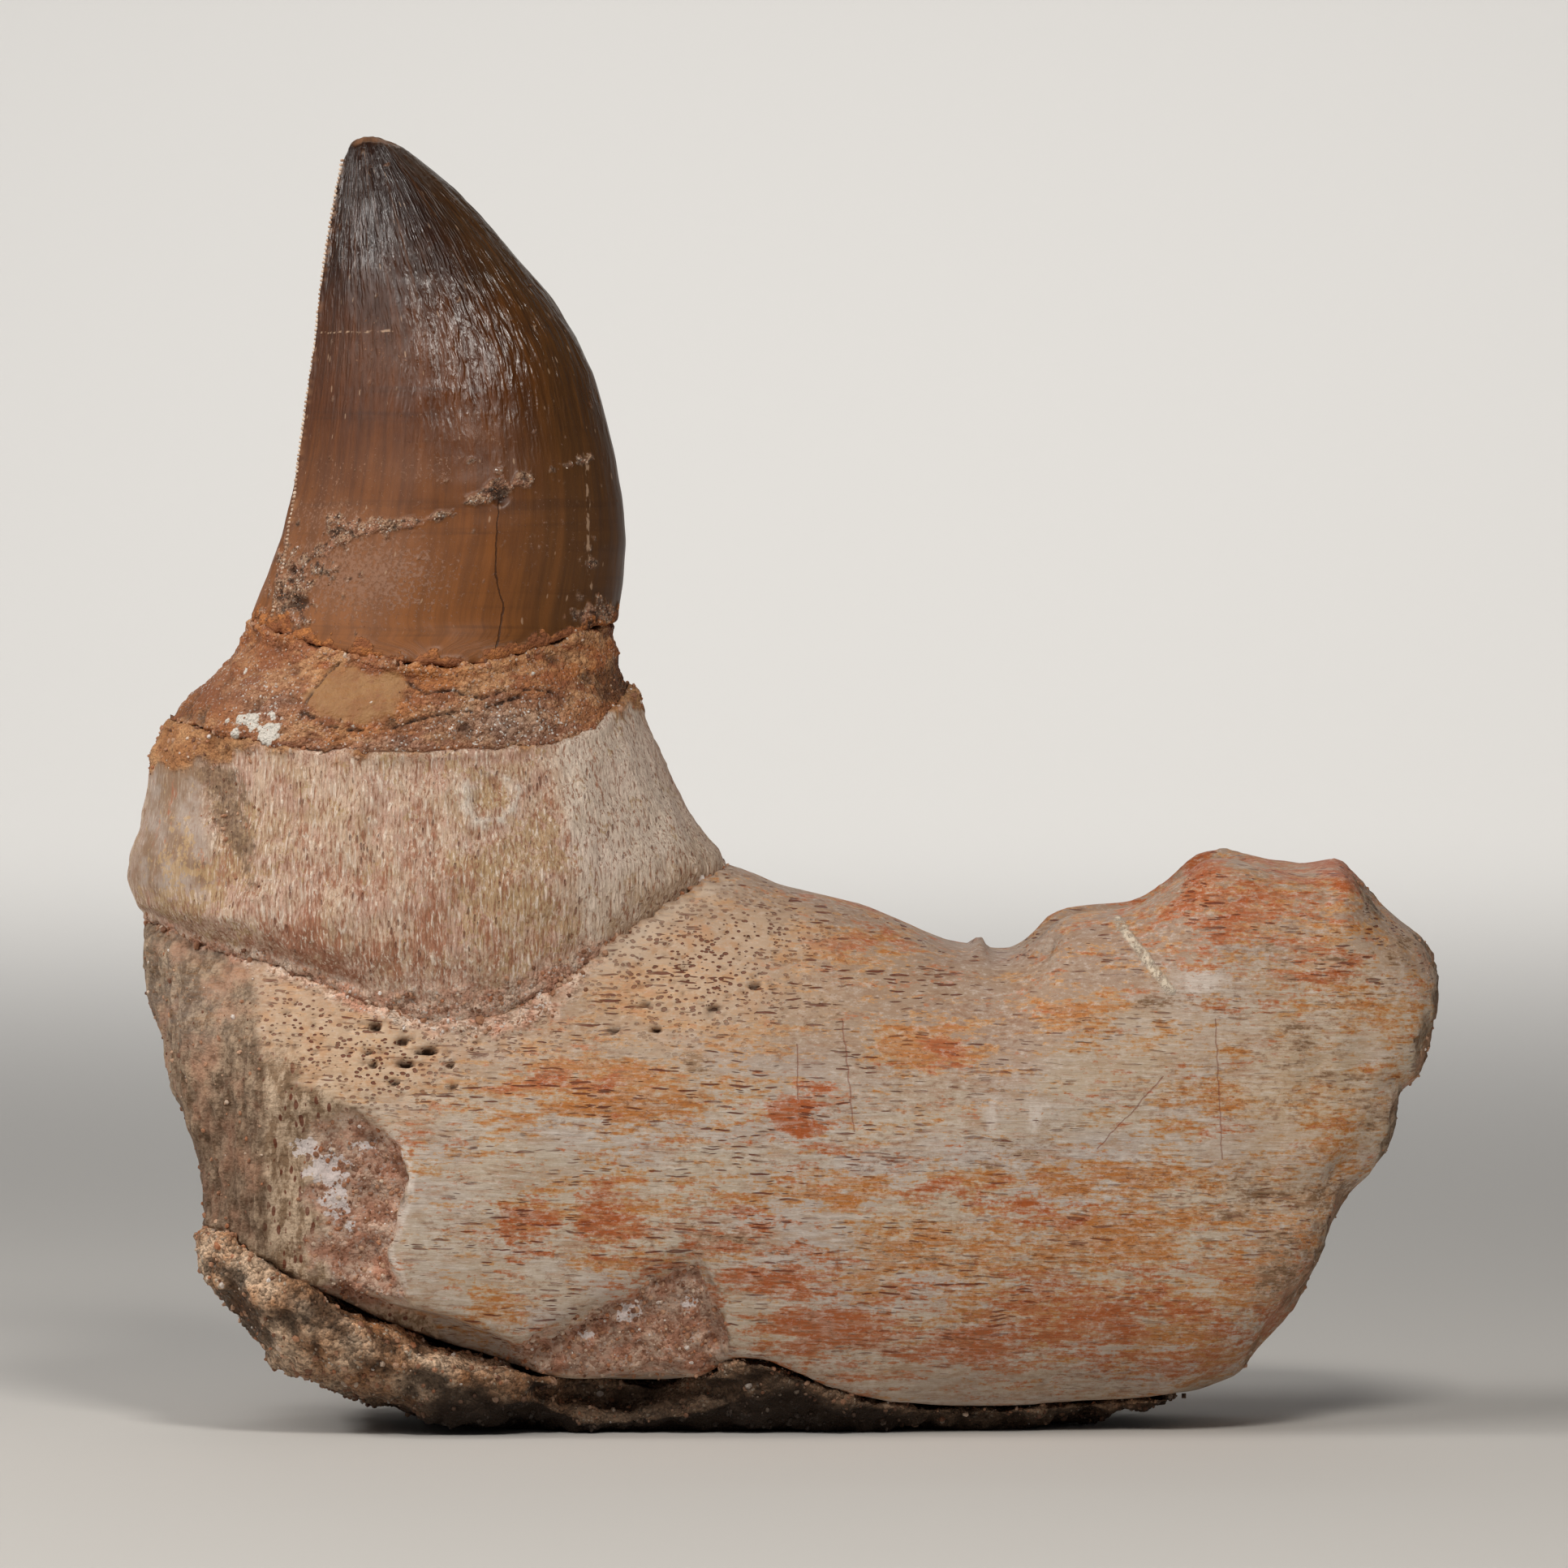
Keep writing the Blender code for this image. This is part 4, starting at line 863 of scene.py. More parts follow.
# Cracks and the filler patch as (x, z) on the outer face
PATCH_ARCH = [
    (-44.0, 65.8), (-43.4, 67.4), (-41.8, 69.6), (-40.0, 71.2), (-38.0, 72.2), (-36.2, 71.6), (-34.6, 70.2),
]
PATCH_FOOT = [
    (-43.6, 66.4), (-41.6, 65.3), (-39.6, 64.9), (-36.6, 64.8), (-34.2, 65.6), (-31, 66.4), (-28, 66.6),
    (-24, 67.9),
]
RIGHT_CRACK = [(-34.2, 69.2), (-32.6, 68.2), (-30.2, 68.5), (-27.4, 67.7), (-24.6, 68.6), (-21, 68.3)]
PATCH_MIDDLE = (-38.8, 68.0)
PATCH_HALF = (5.0, 2.8)
# White chips and glittering sand as (x, z, half length, half height, strength)
WHITE_CHIPS = [
    (-48.6, 65.6, 1.3, 0.6, 1.3), (-47.0, 64.4, 1.2, 0.9, 1.3), (-49.6, 64.3, 0.6, 0.5, 1.1),
    (-46.4, 66.0, 0.6, 0.5, 1.0), (-48.2, 63.6, 0.7, 0.4, 0.9),
]
GLITTER_PARTS = [
    (-25.5, 65.4, 5.5, 1.9, 1.2), (-47, 67, 3, 2, 0.7), (-35, 63.5, 4, 0.8, 0.8), (-40, 63, 7, 0.7, 0.6),
]


def beside(x, z, line):
    """Distance in millimetres, seen from the front, to a line through several (x, z) places."""
    nearest = np.full(len(x), 1e3)
    for (start_x, start_z), (end_x, end_z) in zip(line, line[1:]):
        way_x, way_z = end_x - start_x, end_z - start_z
        share = np.clip(((x - start_x) * way_x + (z - start_z) * way_z) / (way_x**2 + way_z**2), 0, 1)
        nearest = np.minimum(nearest, np.hypot(x - start_x - share * way_x, z - start_z - share * way_z))
    return nearest


neck_collar = fine_copy("neck_collar", "neck_cement", COLLAR_CELL, 5)
points, outward = skin_of(neck_collar)
x, y, z = points.T
front = rise(0.0, 0.4, -outward[:, 1])
to_root = distance_between(points, "tooth_root", 3.0)
to_crown = distance_between(points, "tooth_crown", 3.0)
# Its parts: the filler patch, the cracks round it, the crumbly cement and the white chips
patch_distance = np.hypot((x - PATCH_MIDDLE[0]) / PATCH_HALF[0], (z - PATCH_MIDDLE[1]) / PATCH_HALF[1])
patch = (1 - rise(0.8, 1.0, patch_distance + 0.28 * lumps(points, 2.2, 9, 3))) * front
wander = 0.45 * lumps(points, 1.3, 14, 4)
crack_distance = np.minimum(beside(x, z, PATCH_ARCH), beside(x, z, PATCH_FOOT))
crack_distance = np.minimum(crack_distance, beside(x, z, RIGHT_CRACK))
cracks = (1 - rise(0.05, 0.22, crack_distance + 0.6 * np.abs(wander))) * front
lip_crack = 1 - rise(0.2, 0.45, to_crown + 0.15 * lumps(points, 1.2, 19, 3))
lip_crack *= rise(-0.4, 0.1, lumps(points, 4, 18, 2))
grainy = (0.55 + 0.45 * rise(-0.2, 0.3, lumps(points, 4, 66, 2))) * (1 - patch)
chips = blots(x, z, WHITE_CHIPS) * front
chips_edge = chips + 0.8 * lumps(points, 0.9, 20, 3)
height = grainy * (0.42 * lumps(points, 2.2, 24, 4) + 0.26 * lumps(points, 0.9, 28)) + 0.12 * patch
height += -0.35 * cracks + 0.18 * rise(0.6, 0.8, chips_edge)
meeting = 1 - rise(0.4, 1.4, np.minimum(to_root, to_crown))
height -= 0.8 * blots(x, z, [(-57.5, 64, 3, 2, 1), (-13.3, 68.2, 2.5, 2.5, 1)])
lapping = (1 - rise(0.4, 1.2, to_crown)) * rise(-0.25, 0.3, lumps(points, 2.6, 36, 3))
height += 0.05 + meeting * (0.12 + 0.08 * front + 0.2 * lumps(points, 1.8, 29, 3)) + 0.45 * lapping * front
carve(neck_collar, points, outward, height)
paint(neck_collar, "patch", patch)
paint(neck_collar, "crack", np.maximum(cracks, lip_crack))
paint(neck_collar, "chip", chips_edge)
# Painted shade: the low places of the crumbly cement are darkened in the finish
paint(neck_collar, "hollow", rise(0.0, -0.5, height - 0.1))
paint(neck_collar, "glitter", blots(x, z, GLITTER_PARTS) * front + 0.3 * (1 - front))
paint(neck_collar, "dark", blots(x, z, [(-52.5, 68.5, 3.5, 2.5, 1.1), (-47, 71, 3, 1.5, 0.8)]))
foot_gap = (1 - rise(0.3, 0.8, to_root)) * rise(-0.3, 0.3, lumps(points, 3.0, 37, 3))
paint(neck_collar, "gap", np.maximum(lapping, foot_gap) * front * well_inside(points))
paint(neck_collar, "grainy", grainy * rise(0.3, 0.6, 1 - np.abs(outward[:, 2])) * well_inside(points))

material, tree, shader, place = new_finish("neck_collar", Specular_IOR_Level=0.4)
sand = use(tree, set_sand, Place=place, Grain=0.4)
colour = fade(tree, CEMENT_BROWN, CEMENT_ORANGE, speckle(tree, place, (5.0, 5.0, 2.5), 2, 6, 0.65), 0.36, 0.6)
colour = fade(tree, colour, CEMENT_TAN, speckle(tree, place, (5.0, 5.0, 2.2), 14, 6, 0.65), 0.46, 0.6)
red_clouds = speckle(tree, place, (3.0, 3.0, 1.6), 23, 6, 0.65)
colour = fade(tree, colour, CEMENT_RED, red_clouds, 0.52, 0.64, 0.0, 0.8)
colour = tinge(tree, colour, CEMENT_BROWN, "dark", 0.7, clamp=True)
colour = fade(tree, colour, CEMENT_BROWN, sand["Tone"], 0.1, 0.8, 0.65, 0.0)
glitter = sums(tree, "MULTIPLY", sand["Glint"], sums(tree, "ADD", painted(tree, "glitter"), 0.25), clamp=True)
grey_sand = fade(tree, SAND_BROWN, SAND_GREY, sand["Tone"], 0.2, 0.8)
colour = tinge(tree, colour, grey_sand, "glitter", 0.6, clamp=True)
colour = blend(tree, glitter, colour, QUARTZ_WHITE)
filler = fade(tree, FILLER_ORANGE, FILLER_TAN, speckle(tree, place, 2.2, 41, 6, 0.65), 0.35, 0.65)
filler = fade(tree, filler, CEMENT_BROWN, speckle(tree, place, 0.7, 45, 4, 0.6), 0.58, 0.7, 0.0, 0.5)
colour = blend(tree, painted(tree, "patch"), colour, filler)
colour = fade(tree, colour, CHIP_CREAM, painted(tree, "chip"), 0.62, 0.78)
# Painted shade in the low places, then the dark cracks
colour = tinge(tree, colour, CRACK_AND_SHADE_DARK, "hollow", 0.65)
colour = tinge(tree, colour, CRACK_AND_SHADE_DARK, "crack", 0.9)
sand_roughness = between(tree, glitter, 0.0, 1.0, 0.75, 0.3)
cement_roughness = sums(tree, "MULTIPLY_ADD", painted(tree, "patch"), -0.2, sand_roughness)
loose = sums(tree, "SUBTRACT", 1.0, sums(tree, "MULTIPLY", painted(tree, "patch"), 0.8))
cement_height = sums(tree, "MULTIPLY_ADD", sand["Height"], loose, speckle(tree, place, 0.8, 4))
finish_with(tree, shader, colour, cement_roughness, cement_height, 0.26)
neck_collar.data.materials.append(material)
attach(neck_collar, "root")
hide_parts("neck_collar")


# Enamel crown
# A curved cone of brown enamel, glossy, darkest at the worn tip and honey brown at its base. Fine ridges
# grew down it from the tip, joining and parting, and a cutting edge runs down its left. A crack that has
# filled with sand crosses it.

CROWN_CELL = 0.24
TIP_BROWN = (0.022, 0.008, 0.004)
MID_BROWN = (0.105, 0.027, 0.003)
HONEY_BROWN = (0.27, 0.09, 0.018)
OLIVE_SHADE = (0.09, 0.04, 0.01)
SCUFF_PINK = (0.30, 0.155, 0.095)
CRUST_TAN = (0.52, 0.34, 0.22)
CRUST_PINK = (0.46, 0.21, 0.125)
CRUST_DARK = (0.15, 0.06, 0.03)
CRUST_GLINT = (0.74, 0.66, 0.58)
WORN_BROWN = (0.36, 0.17, 0.08)
# The crack filled with sand, as (x, z)
SAND_CRACK = [
    (-46.4, 76.3), (-43.8, 80.4), (-39.4, 82.8), (-32.6, 84.0), (-26.4, 86.4), (-22.8, 87.9), (-17.6, 89.6),
]
# Sandy crust, scuffed places and pits as (x, z, half length, half height, strength)
CRUST_SPOTS = [
    (-44.8, 77.6, 1.9, 3.0, 1.15), (-45.4, 80.4, 1.2, 1.4, 0.9), (-17.2, 74.8, 1.8, 1.8, 1.15),
    (-40, 83.4, 2.6, 1.2, 0.95), (-25.9, 86.9, 1.2, 1.0, 1.15), (-36.8, 83.4, 3, 0.9, 0.85),
    (-42, 80, 3.2, 2.5, 0.55), (-24, 87.8, 1.3, 0.7, 0.9), (-17.6, 80.4, 0.6, 1.2, 0.9),
    (-48, 74.4, 1.6, 1.4, 0.75), (-27.6, 86.0, 1.4, 0.5, 0.8),
]
SCUFFED = [
    (-38.5, 79, 7.5, 4.2, 1.0), (-33, 88.5, 9, 2.0, 0.45), (-28, 92, 4, 2, 0.4), (-41.5, 87, 2.5, 3, 0.45),
    (-41, 84, 5, 2, 0.75), (-22, 83, 5, 5, 0.3), (-36, 99, 5, 3, 0.35),
]
PITS = [
    (-25.8, 86.4, 0.7, 0.9, 1.0), (-44.4, 76.3, 0.9, 0.6, 1.0), (-16.6, 73.2, 0.8, 0.6, 0.8),
    (-44.9, 79.2, 0.4, 0.5, 0.8),
]
# Turn of the cutting edge round the crown in degrees, as (z, turn)
EDGE_TURN = [(72, 206), (78, 201), (84, 192), (90, 184), (98, 181), (120, 180)]
# The dark upright crack and the pale worn lines, as (from, to, width) with (x, z) places
CROWN_CRACK = [
    ((-25.65, 86.8), (-25.95, 79.3), 0.08),
    ((-25.95, 79.3), (-25.2, 76.2), 0.08),
    ((-25.2, 76.2), (-26.2, 70.5), 0.1),
]
WORN_LINES = [((-17.7, 89.4), (-17.4, 77.8), 0.2), ((-43.4, 101.3), (-35.5, 101.5), 0.12)]
RIDGE_ROUND = 14.0

tooth_crown = fine_copy("tooth_crown", "enamel_crown", CROWN_CELL, 18)
points, outward = skin_of(tooth_crown)
x, y, z = points.T
front = rise(0.0, 0.4, -outward[:, 1])
# The crown's own middle line, so that ridges and cutting edge can follow its curve
levels = np.linspace(70.5, 119.4, 60)
middles = []
for level in levels:
    level_points = points[np.abs(z - level) < 0.6]
    middles.append((level_points.min(axis=0) + level_points.max(axis=0)) / 2)
middles = np.array(middles)
middle_x = np.interp(z, levels, middles[:, 0])
middle_y = np.interp(z, levels, middles[:, 1])
turn = np.arctan2(y - middle_y, x - middle_x)
# Places on a plain upright cylinder, on which the ridges run straight and close up towards the tip
ridge_place = np.stack([np.cos(turn) * RIDGE_ROUND, np.sin(turn) * RIDGE_ROUND, z], axis=1)
ridges = lumps(ridge_place, 0.95, 6, 3, (1, 1, 4.5)) + 0.35 * lumps(ridge_place, 2.2, 16, 2, (1, 1, 6.0))
ridge_depth = 0.02 + 0.085 * rise(86, 104, z)
edge_turn = np.radians(along(EDGE_TURN, z))
off_edge = (turn - edge_turn + math.pi) % (2 * math.pi) - math.pi
cutting_edge = np.exp(-((off_edge / 0.05) ** 2)) * rise(72, 75, z) * (1 - rise(115, 118.5, z))
# Sandy crust, scuffed places, the cement lapped over the base, the worn tip and pits
crack_distance = beside(x, z, SAND_CRACK)
crack_fill = 0.62 * (1 - rise(0.0, 0.75, crack_distance + 0.35 * lumps(points, 1.5, 33, 3)))
crust = crack_fill + blots(x, z, CRUST_SPOTS)
crust = rise(0.5, 0.8, crust + 0.7 * lumps(points, 1.0, 34, 4)) * front
scuffed = blots(x, z, SCUFFED) * front
to_collar = distance_between(points, "neck_collar", 4.0)
lapped = (1 - rise(0.6, 1.1, to_collar / 1.5 + 0.9 * lumps(points, 2.2, 36, 4))) * (0.4 + 0.6 * front)
wear = rise(118.2, 119.2, z + 0.5 * lumps(points, 1.5, 3, 2))
pits = np.clip(blots(x, z, PITS) * 1.2 + 0.4 * lumps(points, 0.6, 35, 3), 0, 1)
pits *= rise(0.2, 0.5, blots(x, z, PITS)) * front
height = ridge_depth * ridges * (1 - crust) + 0.08 * lumps(points, 6, 12) + 0.22 * cutting_edge
height += crust * (0.12 + 0.24 * lumps(points, 0.7, 38, 4)) - 0.25 * wear - 0.5 * pits
height += lapped * (0.16 + 0.2 * lumps(points, 0.9, 39, 4))
carve(tooth_crown, points, outward, height)
paint(tooth_crown, "ridge_place", ridge_place * MM)
paint(tooth_crown, "crust", crust)
paint(tooth_crown, "scuffed", scuffed)
paint(tooth_crown, "lapped", lapped)
worn_edge = 0.8 * cutting_edge * rise(0.0, 0.4, lumps(ridge_place, 0.5, 4, 2, (6, 6, 1)))
paint(tooth_crown, "worn", np.clip(wear + worn_edge, 0, 1))
# Painted shade: the valleys between the ridges high on the crown are darkened in the finish
paint(tooth_crown, "dip", rise(0.05, -0.5, ridges) * rise(82, 100, z))
# Painted shade: the low places of the sandy crust and the pits are darkened in the finish
paint(tooth_crown, "hollow", np.maximum(crust * rise(0.1, -0.4, lumps(points, 0.7, 38, 4)), pits))
# Painted shade: the crown's right-facing side is made darker olive brown in the finish
paint(tooth_crown, "right_side", rise(0.1, 0.75, outward[:, 0]))
matt = rise(0.1, 0.5, -outward[:, 0]) * (1 - rise(103, 109, z)) * front
paint(tooth_crown, "matt", matt)
paint(tooth_crown, "grainy", crust * well_inside(points))

material, tree, shader, place = new_finish("tooth_crown", Specular_IOR_Level=0.4)
# Ridges of three kinds: fine ones, hair-fine ones and ones that join in a net
up = put(tree, "ShaderNodeSeparateXYZ", {0: place}).outputs[2]
ridge_at = painted(tree, "ridge_place", "Vector")
fine_ridges = speckle(tree, ridge_at, (0.40, 0.40, 2.2), 6, 4, 0.6, 0.9)
hair_ridges = speckle(tree, ridge_at, (0.17, 0.17, 2.4), 9, 3, 0.55, 0.3)
sway = put(tree, "ShaderNodeTexNoise", {"Vector": ridge_at, "Scale": 420.0, "Detail": 3.0})
swayed = places(tree, "ADD", ridge_at, places(tree, "SCALE", sway.outputs["Color"], 0.0011))
netted = put(tree, "ShaderNodeMapping", {"Vector": swayed, "Scale": (1600.0, 1600.0, 330.0)}).outputs[0]
net = put(tree, "ShaderNodeTexVoronoi", {"Vector": netted, "Scale": 1.0}, feature="DISTANCE_TO_EDGE")
joined_ridges = between(tree, net.outputs["Distance"], 0.0, 0.5)
# Enamel colour, darker upwards, with streaks, bands and scuffs, and painted shade on the side that faces
# right and in the valleys between the ridges
long_streaks = speckle(tree, ridge_at, (1.0, 1.0, 22.0), 11, 6, 0.65)
mottle = speckle(tree, place, (3.5, 3.5, 5.0), 25, 6, 0.66)
height_up = sums(tree, "MULTIPLY_ADD", sums(tree, "SUBTRACT", mottle, 0.5), 0.02, up)
colour = fade(tree, HONEY_BROWN, MID_BROWN, height_up, 0.0735, 0.095)
colour = fade(tree, colour, TIP_BROWN, height_up, 0.094, 0.114)
colour = tinge(tree, colour, OLIVE_SHADE, "right_side", 0.8)
colour = fade(tree, colour, TIP_BROWN, long_streaks, 0.35, 0.6, 0.3, 0.0)
colour = fade(tree, colour, HONEY_BROWN, long_streaks, 0.5, 0.75, 0.0, 0.22)
# Painted shade in the ridge valleys
colour = tinge(tree, colour, TIP_BROWN, "dip", 0.3)
bands = speckle(tree, ridge_at, (30.0, 30.0, 1.1), 4, 4, 0.6)
colour = fade(tree, colour, TIP_BROWN, bands, 0.52, 0.72, 0.0, 0.3)
scuff_noise = sums(tree, "SUBTRACT", speckle(tree, place, 0.35, 8, 5, 0.7), 0.5)
scuff_spots = sums(tree, "MULTIPLY_ADD", scuff_noise, 4.0, painted(tree, "scuffed"))
scuffs = between(tree, scuff_spots, 0.66, 1.0, 0.0, 0.9)
colour = tinge(tree, colour, SCUFF_PINK, "scuffed", 0.3)
colour = blend(tree, scuffs, colour, SCUFF_PINK)
nicks = holes_in(tree, ridge_at, (0.5, 0.5, 1.3), 0.24, 0.1)
colour = tinge(tree, colour, CRUST_TAN, nicks, 0.5)
# Cracks, worn lines, sandy crust and cement
dark_crack = lines_between(tree, place, CROWN_CRACK)
colour = tinge(tree, colour, CRACK_AND_SHADE_DARK, dark_crack, 0.7)
dots = between(tree, speckle(tree, place, (0.5, 0.5, 0.8), 3, 1), 0.42, 0.55)
pale_marks = sums(tree, "MULTIPLY", lines_between(tree, place, WORN_LINES), dots)
colour = tinge(tree, colour, CRUST_TAN, pale_marks, 0.7)
sand = use(tree, set_sand, Place=place, Grain=0.34)
crust_colour = fade(tree, CRUST_DARK, CRUST_TAN, sand["Tone"], 0.15, 0.85)
crust_clouds = speckle(tree, place, 2.0, 4)
crust_colour = fade(tree, crust_colour, CRUST_PINK, crust_clouds, 0.45, 0.65, 0.0, 0.7)
crust_colour = tinge(tree, crust_colour, CRUST_GLINT, sand["Glint"], 0.85)
colour = tinge(tree, colour, crust_colour, "crust", 0.92)
cement = fade(tree, CEMENT_BROWN, CEMENT_ORANGE, speckle(tree, place, (2.5, 2.5, 1.4), 23, 6, 0.65), 0.4, 0.6)
cement = fade(tree, cement, CEMENT_BROWN, sand["Tone"], 0.1, 0.8, 0.6, 0.0)
lapped_noise = sums(tree, "SUBTRACT", speckle(tree, place, 0.5, 48, 4, 0.7), 0.5)
lapped_edge = sums(tree, "MULTIPLY_ADD", lapped_noise, 2.0, painted(tree, "lapped"))
lapped_here = between(tree, lapped_edge, 0.35, 0.6)
colour = blend(tree, lapped_here, colour, cement)
colour = tinge(tree, colour, WORN_BROWN, "worn", 0.7)
# Painted shade in the crust's low places and the pits
colour = tinge(tree, colour, CRACK_AND_SHADE_DARK, "hollow", 0.85)
rough_here = sums(tree, "MAXIMUM", painted(tree, "crust"), lapped_here)
# Roughness, duller at the base and left, and fine relief
rough_spots = sums(tree, "MAXIMUM", sums(tree, "MAXIMUM", rough_here, scuffs), painted(tree, "worn"))
rough_base = between(tree, up, 0.084, 0.104, 0.34, 0.12)
rough_base = sums(tree, "MULTIPLY_ADD", painted(tree, "matt"), 0.34, rough_base)
rough_base = sums(tree, "MULTIPLY_ADD", mottle, 0.12, rough_base)
enamel_roughness = sums(tree, "MULTIPLY_ADD", rough_spots, 0.35, rough_base)
ridge_height = 0.0
# Each kind of ridge grows from a share low on the crown to another share higher up
for kind, low, high, share_low, share_high in (
    (fine_ridges, 0.08, 0.102, 0.12, 0.5),
    (hair_ridges, 0.075, 0.1, 0.12, 0.2),
    (joined_ridges, 0.084, 0.1, 0.04, 0.85),
):
    grown_share = between(tree, up, low, high, share_low, share_high)
    ridge_height = sums(tree, "MULTIPLY_ADD", kind, grown_share, ridge_height)
rough_crust = sums(tree, "MULTIPLY", rough_here, 2.2)
crown_height = sums(tree, "MULTIPLY_ADD", sand["Height"], rough_crust, ridge_height)
crown_height = sums(tree, "SUBTRACT", crown_height, dark_crack)
scuff_height = sums(tree, "MULTIPLY", sand["Height"], 0.4)
crown_height = sums(tree, "MULTIPLY_ADD", scuffs, scuff_height, crown_height)
finish_with(tree, shader, colour, enamel_roughness, crown_height, 0.1)
tooth_crown.data.materials.append(material)
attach(tooth_crown, "root")
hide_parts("tooth_crown")


# Beads of the cutting edge
# Fine saw teeth of the enamel itself, worn pale, in one row down the left edge of the crown.

BEAD_SPACING = 0.42
BEAD_RADIUS = 0.21
BEAD_BROWN = (0.40, 0.24, 0.15)
BEAD_CREAM = (0.72, 0.56, 0.43)


def grown(name, source_data, group, values):
    """Runs a Geometry Nodes group on a curve or mesh and keeps the outcome as a plain mesh piece."""
    source = bpy.data.objects.new(name, source_data)
    bpy.context.scene.collection.objects.link(source)
    run = source.modifiers.new(name, "NODES")
    run.node_group = group
    for identifier, value in values.items():
        run[identifier] = value
    seen = source.evaluated_get(bpy.context.evaluated_depsgraph_get())
    outcome = bpy.data.meshes.new_from_object(seen)
    source.modifiers.clear()
    bpy.data.objects.remove(source)
    piece = bpy.data.objects.new(name, outcome)
    bpy.context.scene.collection.objects.link(piece)
    return piece


def new_growth(name, numbers):
    """An empty Geometry Nodes group: gives it, its given sockets and its inputs' identifiers by name."""
    group = bpy.data.node_groups.new(name, "GeometryNodeTree")
    group.interface.new_socket(name="Source", in_out="INPUT", socket_type="NodeSocketGeometry")
    group.interface.new_socket(name="Pieces", in_out="OUTPUT", socket_type="NodeSocketGeometry")
    identifiers = {}
    kinds = {"Where": "NodeSocketString", "Finish": "NodeSocketMaterial"}
    for label in (*numbers, "Finish"):
        kind = kinds.get(label, "NodeSocketFloat")
        socket = group.interface.new_socket(name=label, in_out="INPUT", socket_type=kind)
        identifiers[label] = socket.identifier
    return group, put(group, "NodeGroupInput").outputs, identifiers


def random_size(group, smallest, largest, seed):
    """A size or turn of its own for every repeated shape, as (x, y, z)."""
    span = {0: smallest, 1: largest, 8: seed}
    return put(group, "FunctionNodeRandomValue", span, data_type="FLOAT_VECTOR").outputs[0]


def end_growth(group, given, instances):
    """Ends a Geometry Nodes group: the instances are made real and get the given finish."""
    real = put(group, "GeometryNodeRealizeInstances", {"Geometry": instances}).outputs[0]
    coloured = put(group, "GeometryNodeSetMaterial", {"Geometry": real, "Material": given["Finish"]})
    put(group, "NodeGroupOutput", {"Pieces": coloured.outputs[0]})


edge_line = bpy.data.curves.new("cutting edge", "CURVE")
edge_line.dimensions = "3D"
levels = np.arange(73.5, 117.5, 0.5)
nearest = [np.argmin(np.abs(off_edge) * 4 + np.abs(z - level)) for level in levels]
edge_places = points[nearest] + outward[nearest] * 0.12
edge_places[:, 0] = np.convolve(np.pad(edge_places[:, 0], 2, "edge"), np.ones(5) / 5, "valid")
edge_places[:, 1] = np.convolve(np.pad(edge_places[:, 1], 2, "edge"), np.ones(5) / 5, "valid")
edge_places[:, 0] = np.maximum(edge_places[:, 0] - 0.1, np.array(cad_box[0])[0] / MM + 0.3)
spline = edge_line.splines.new("POLY")
spline.points.add(len(edge_places) - 1)
for spot, edge_place in zip(spline.points, edge_places):
    spot.co = (*(edge_place * MM), 1)

edge_beads, given, bead_inputs = new_growth("edge beads", ("Spacing", "Radius"))
row = {"Curve": given["Source"], "Length": given["Spacing"]}
spaced = put(edge_beads, "GeometryNodeResampleCurve", row, mode="LENGTH").outputs[0]
bead = put(edge_beads, "GeometryNodeMeshIcoSphere", {"Radius": given["Radius"], "Subdivisions": 2}).outputs[0]
size = random_size(edge_beads, (0.7, 0.7, 0.6), (1.2, 1.2, 1.0), 4)
in_row = {"Points": spaced, "Instance": bead, "Scale": size}
set_out = put(edge_beads, "GeometryNodeInstanceOnPoints", in_row)
end_growth(edge_beads, given, set_out.outputs[0])

material, tree, shader, place = new_finish("edge_beads", Specular_IOR_Level=0.5)
colour = fade(tree, BEAD_BROWN, BEAD_CREAM, speckle(tree, place, 1.2, 4), 0.4, 0.6)
bead_roughness = between(tree, speckle(tree, place, 0.6, 5), 0.3, 0.7, 0.25, 0.55)
finish_with(tree, shader, colour, bead_roughness, speckle(tree, place, 0.1, 6), 0.04)
values = {"Spacing": BEAD_SPACING * MM, "Radius": BEAD_RADIUS * MM, "Finish": material}
beads = {bead_inputs[label]: value for label, value in values.items()}
saw_teeth = grown("saw_teeth", edge_line, edge_beads, beads)
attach(saw_teeth, "root")


# Loose grains
# Quartz, phosphate and bone sand from the rock, caught in every rough place: thick on the host stone and in
# the seams and flaked patches, fine in the crack of the crown.

# Piece, its slot, the grains' name, where they lie, grains on a square millimetre, smallest and largest size
GRAIN_BEDS = [
    (base_stone, "base_stone", "base_stone_grains", "grainy", 1.4, 0.12, 0.44),
    (jaw_bone, "jaw_bone", "jaw_bone_grains", "grainy", 2.4, 0.10, 0.34),
    (jaw_bone, "jaw_bone", "seam_crumbs_grains", "gap", 4.5, 0.18, 0.55),
    (tooth_root, "tooth_root", "tooth_root_grains", "grainy", 2.0, 0.10, 0.36),
    (neck_collar, "neck_collar", "neck_collar_grains", "grainy", 0.8, 0.06, 0.18),
    (neck_collar, "neck_collar", "lip_crumbs_grains", "gap", 3.0, 0.12, 0.36),
    (tooth_crown, "tooth_crown", "tooth_crown_grains", "grainy", 5.0, 0.05, 0.16),
]
# Colours of the grains from dark to pale, as the span of each grain's own number over which one comes in
GRAIN_DARK = (0.14, 0.062, 0.034)
GRAIN_TONES = [
    (0.0, 0.35, (0.44, 0.22, 0.12)),
    (0.35, 0.62, (0.60, 0.38, 0.25)),
    (0.72, 0.74, (0.45, 0.18, 0.08)),
    (0.84, 0.86, (0.74, 0.59, 0.46)),
    (0.95, 0.96, (0.86, 0.80, 0.74)),
]

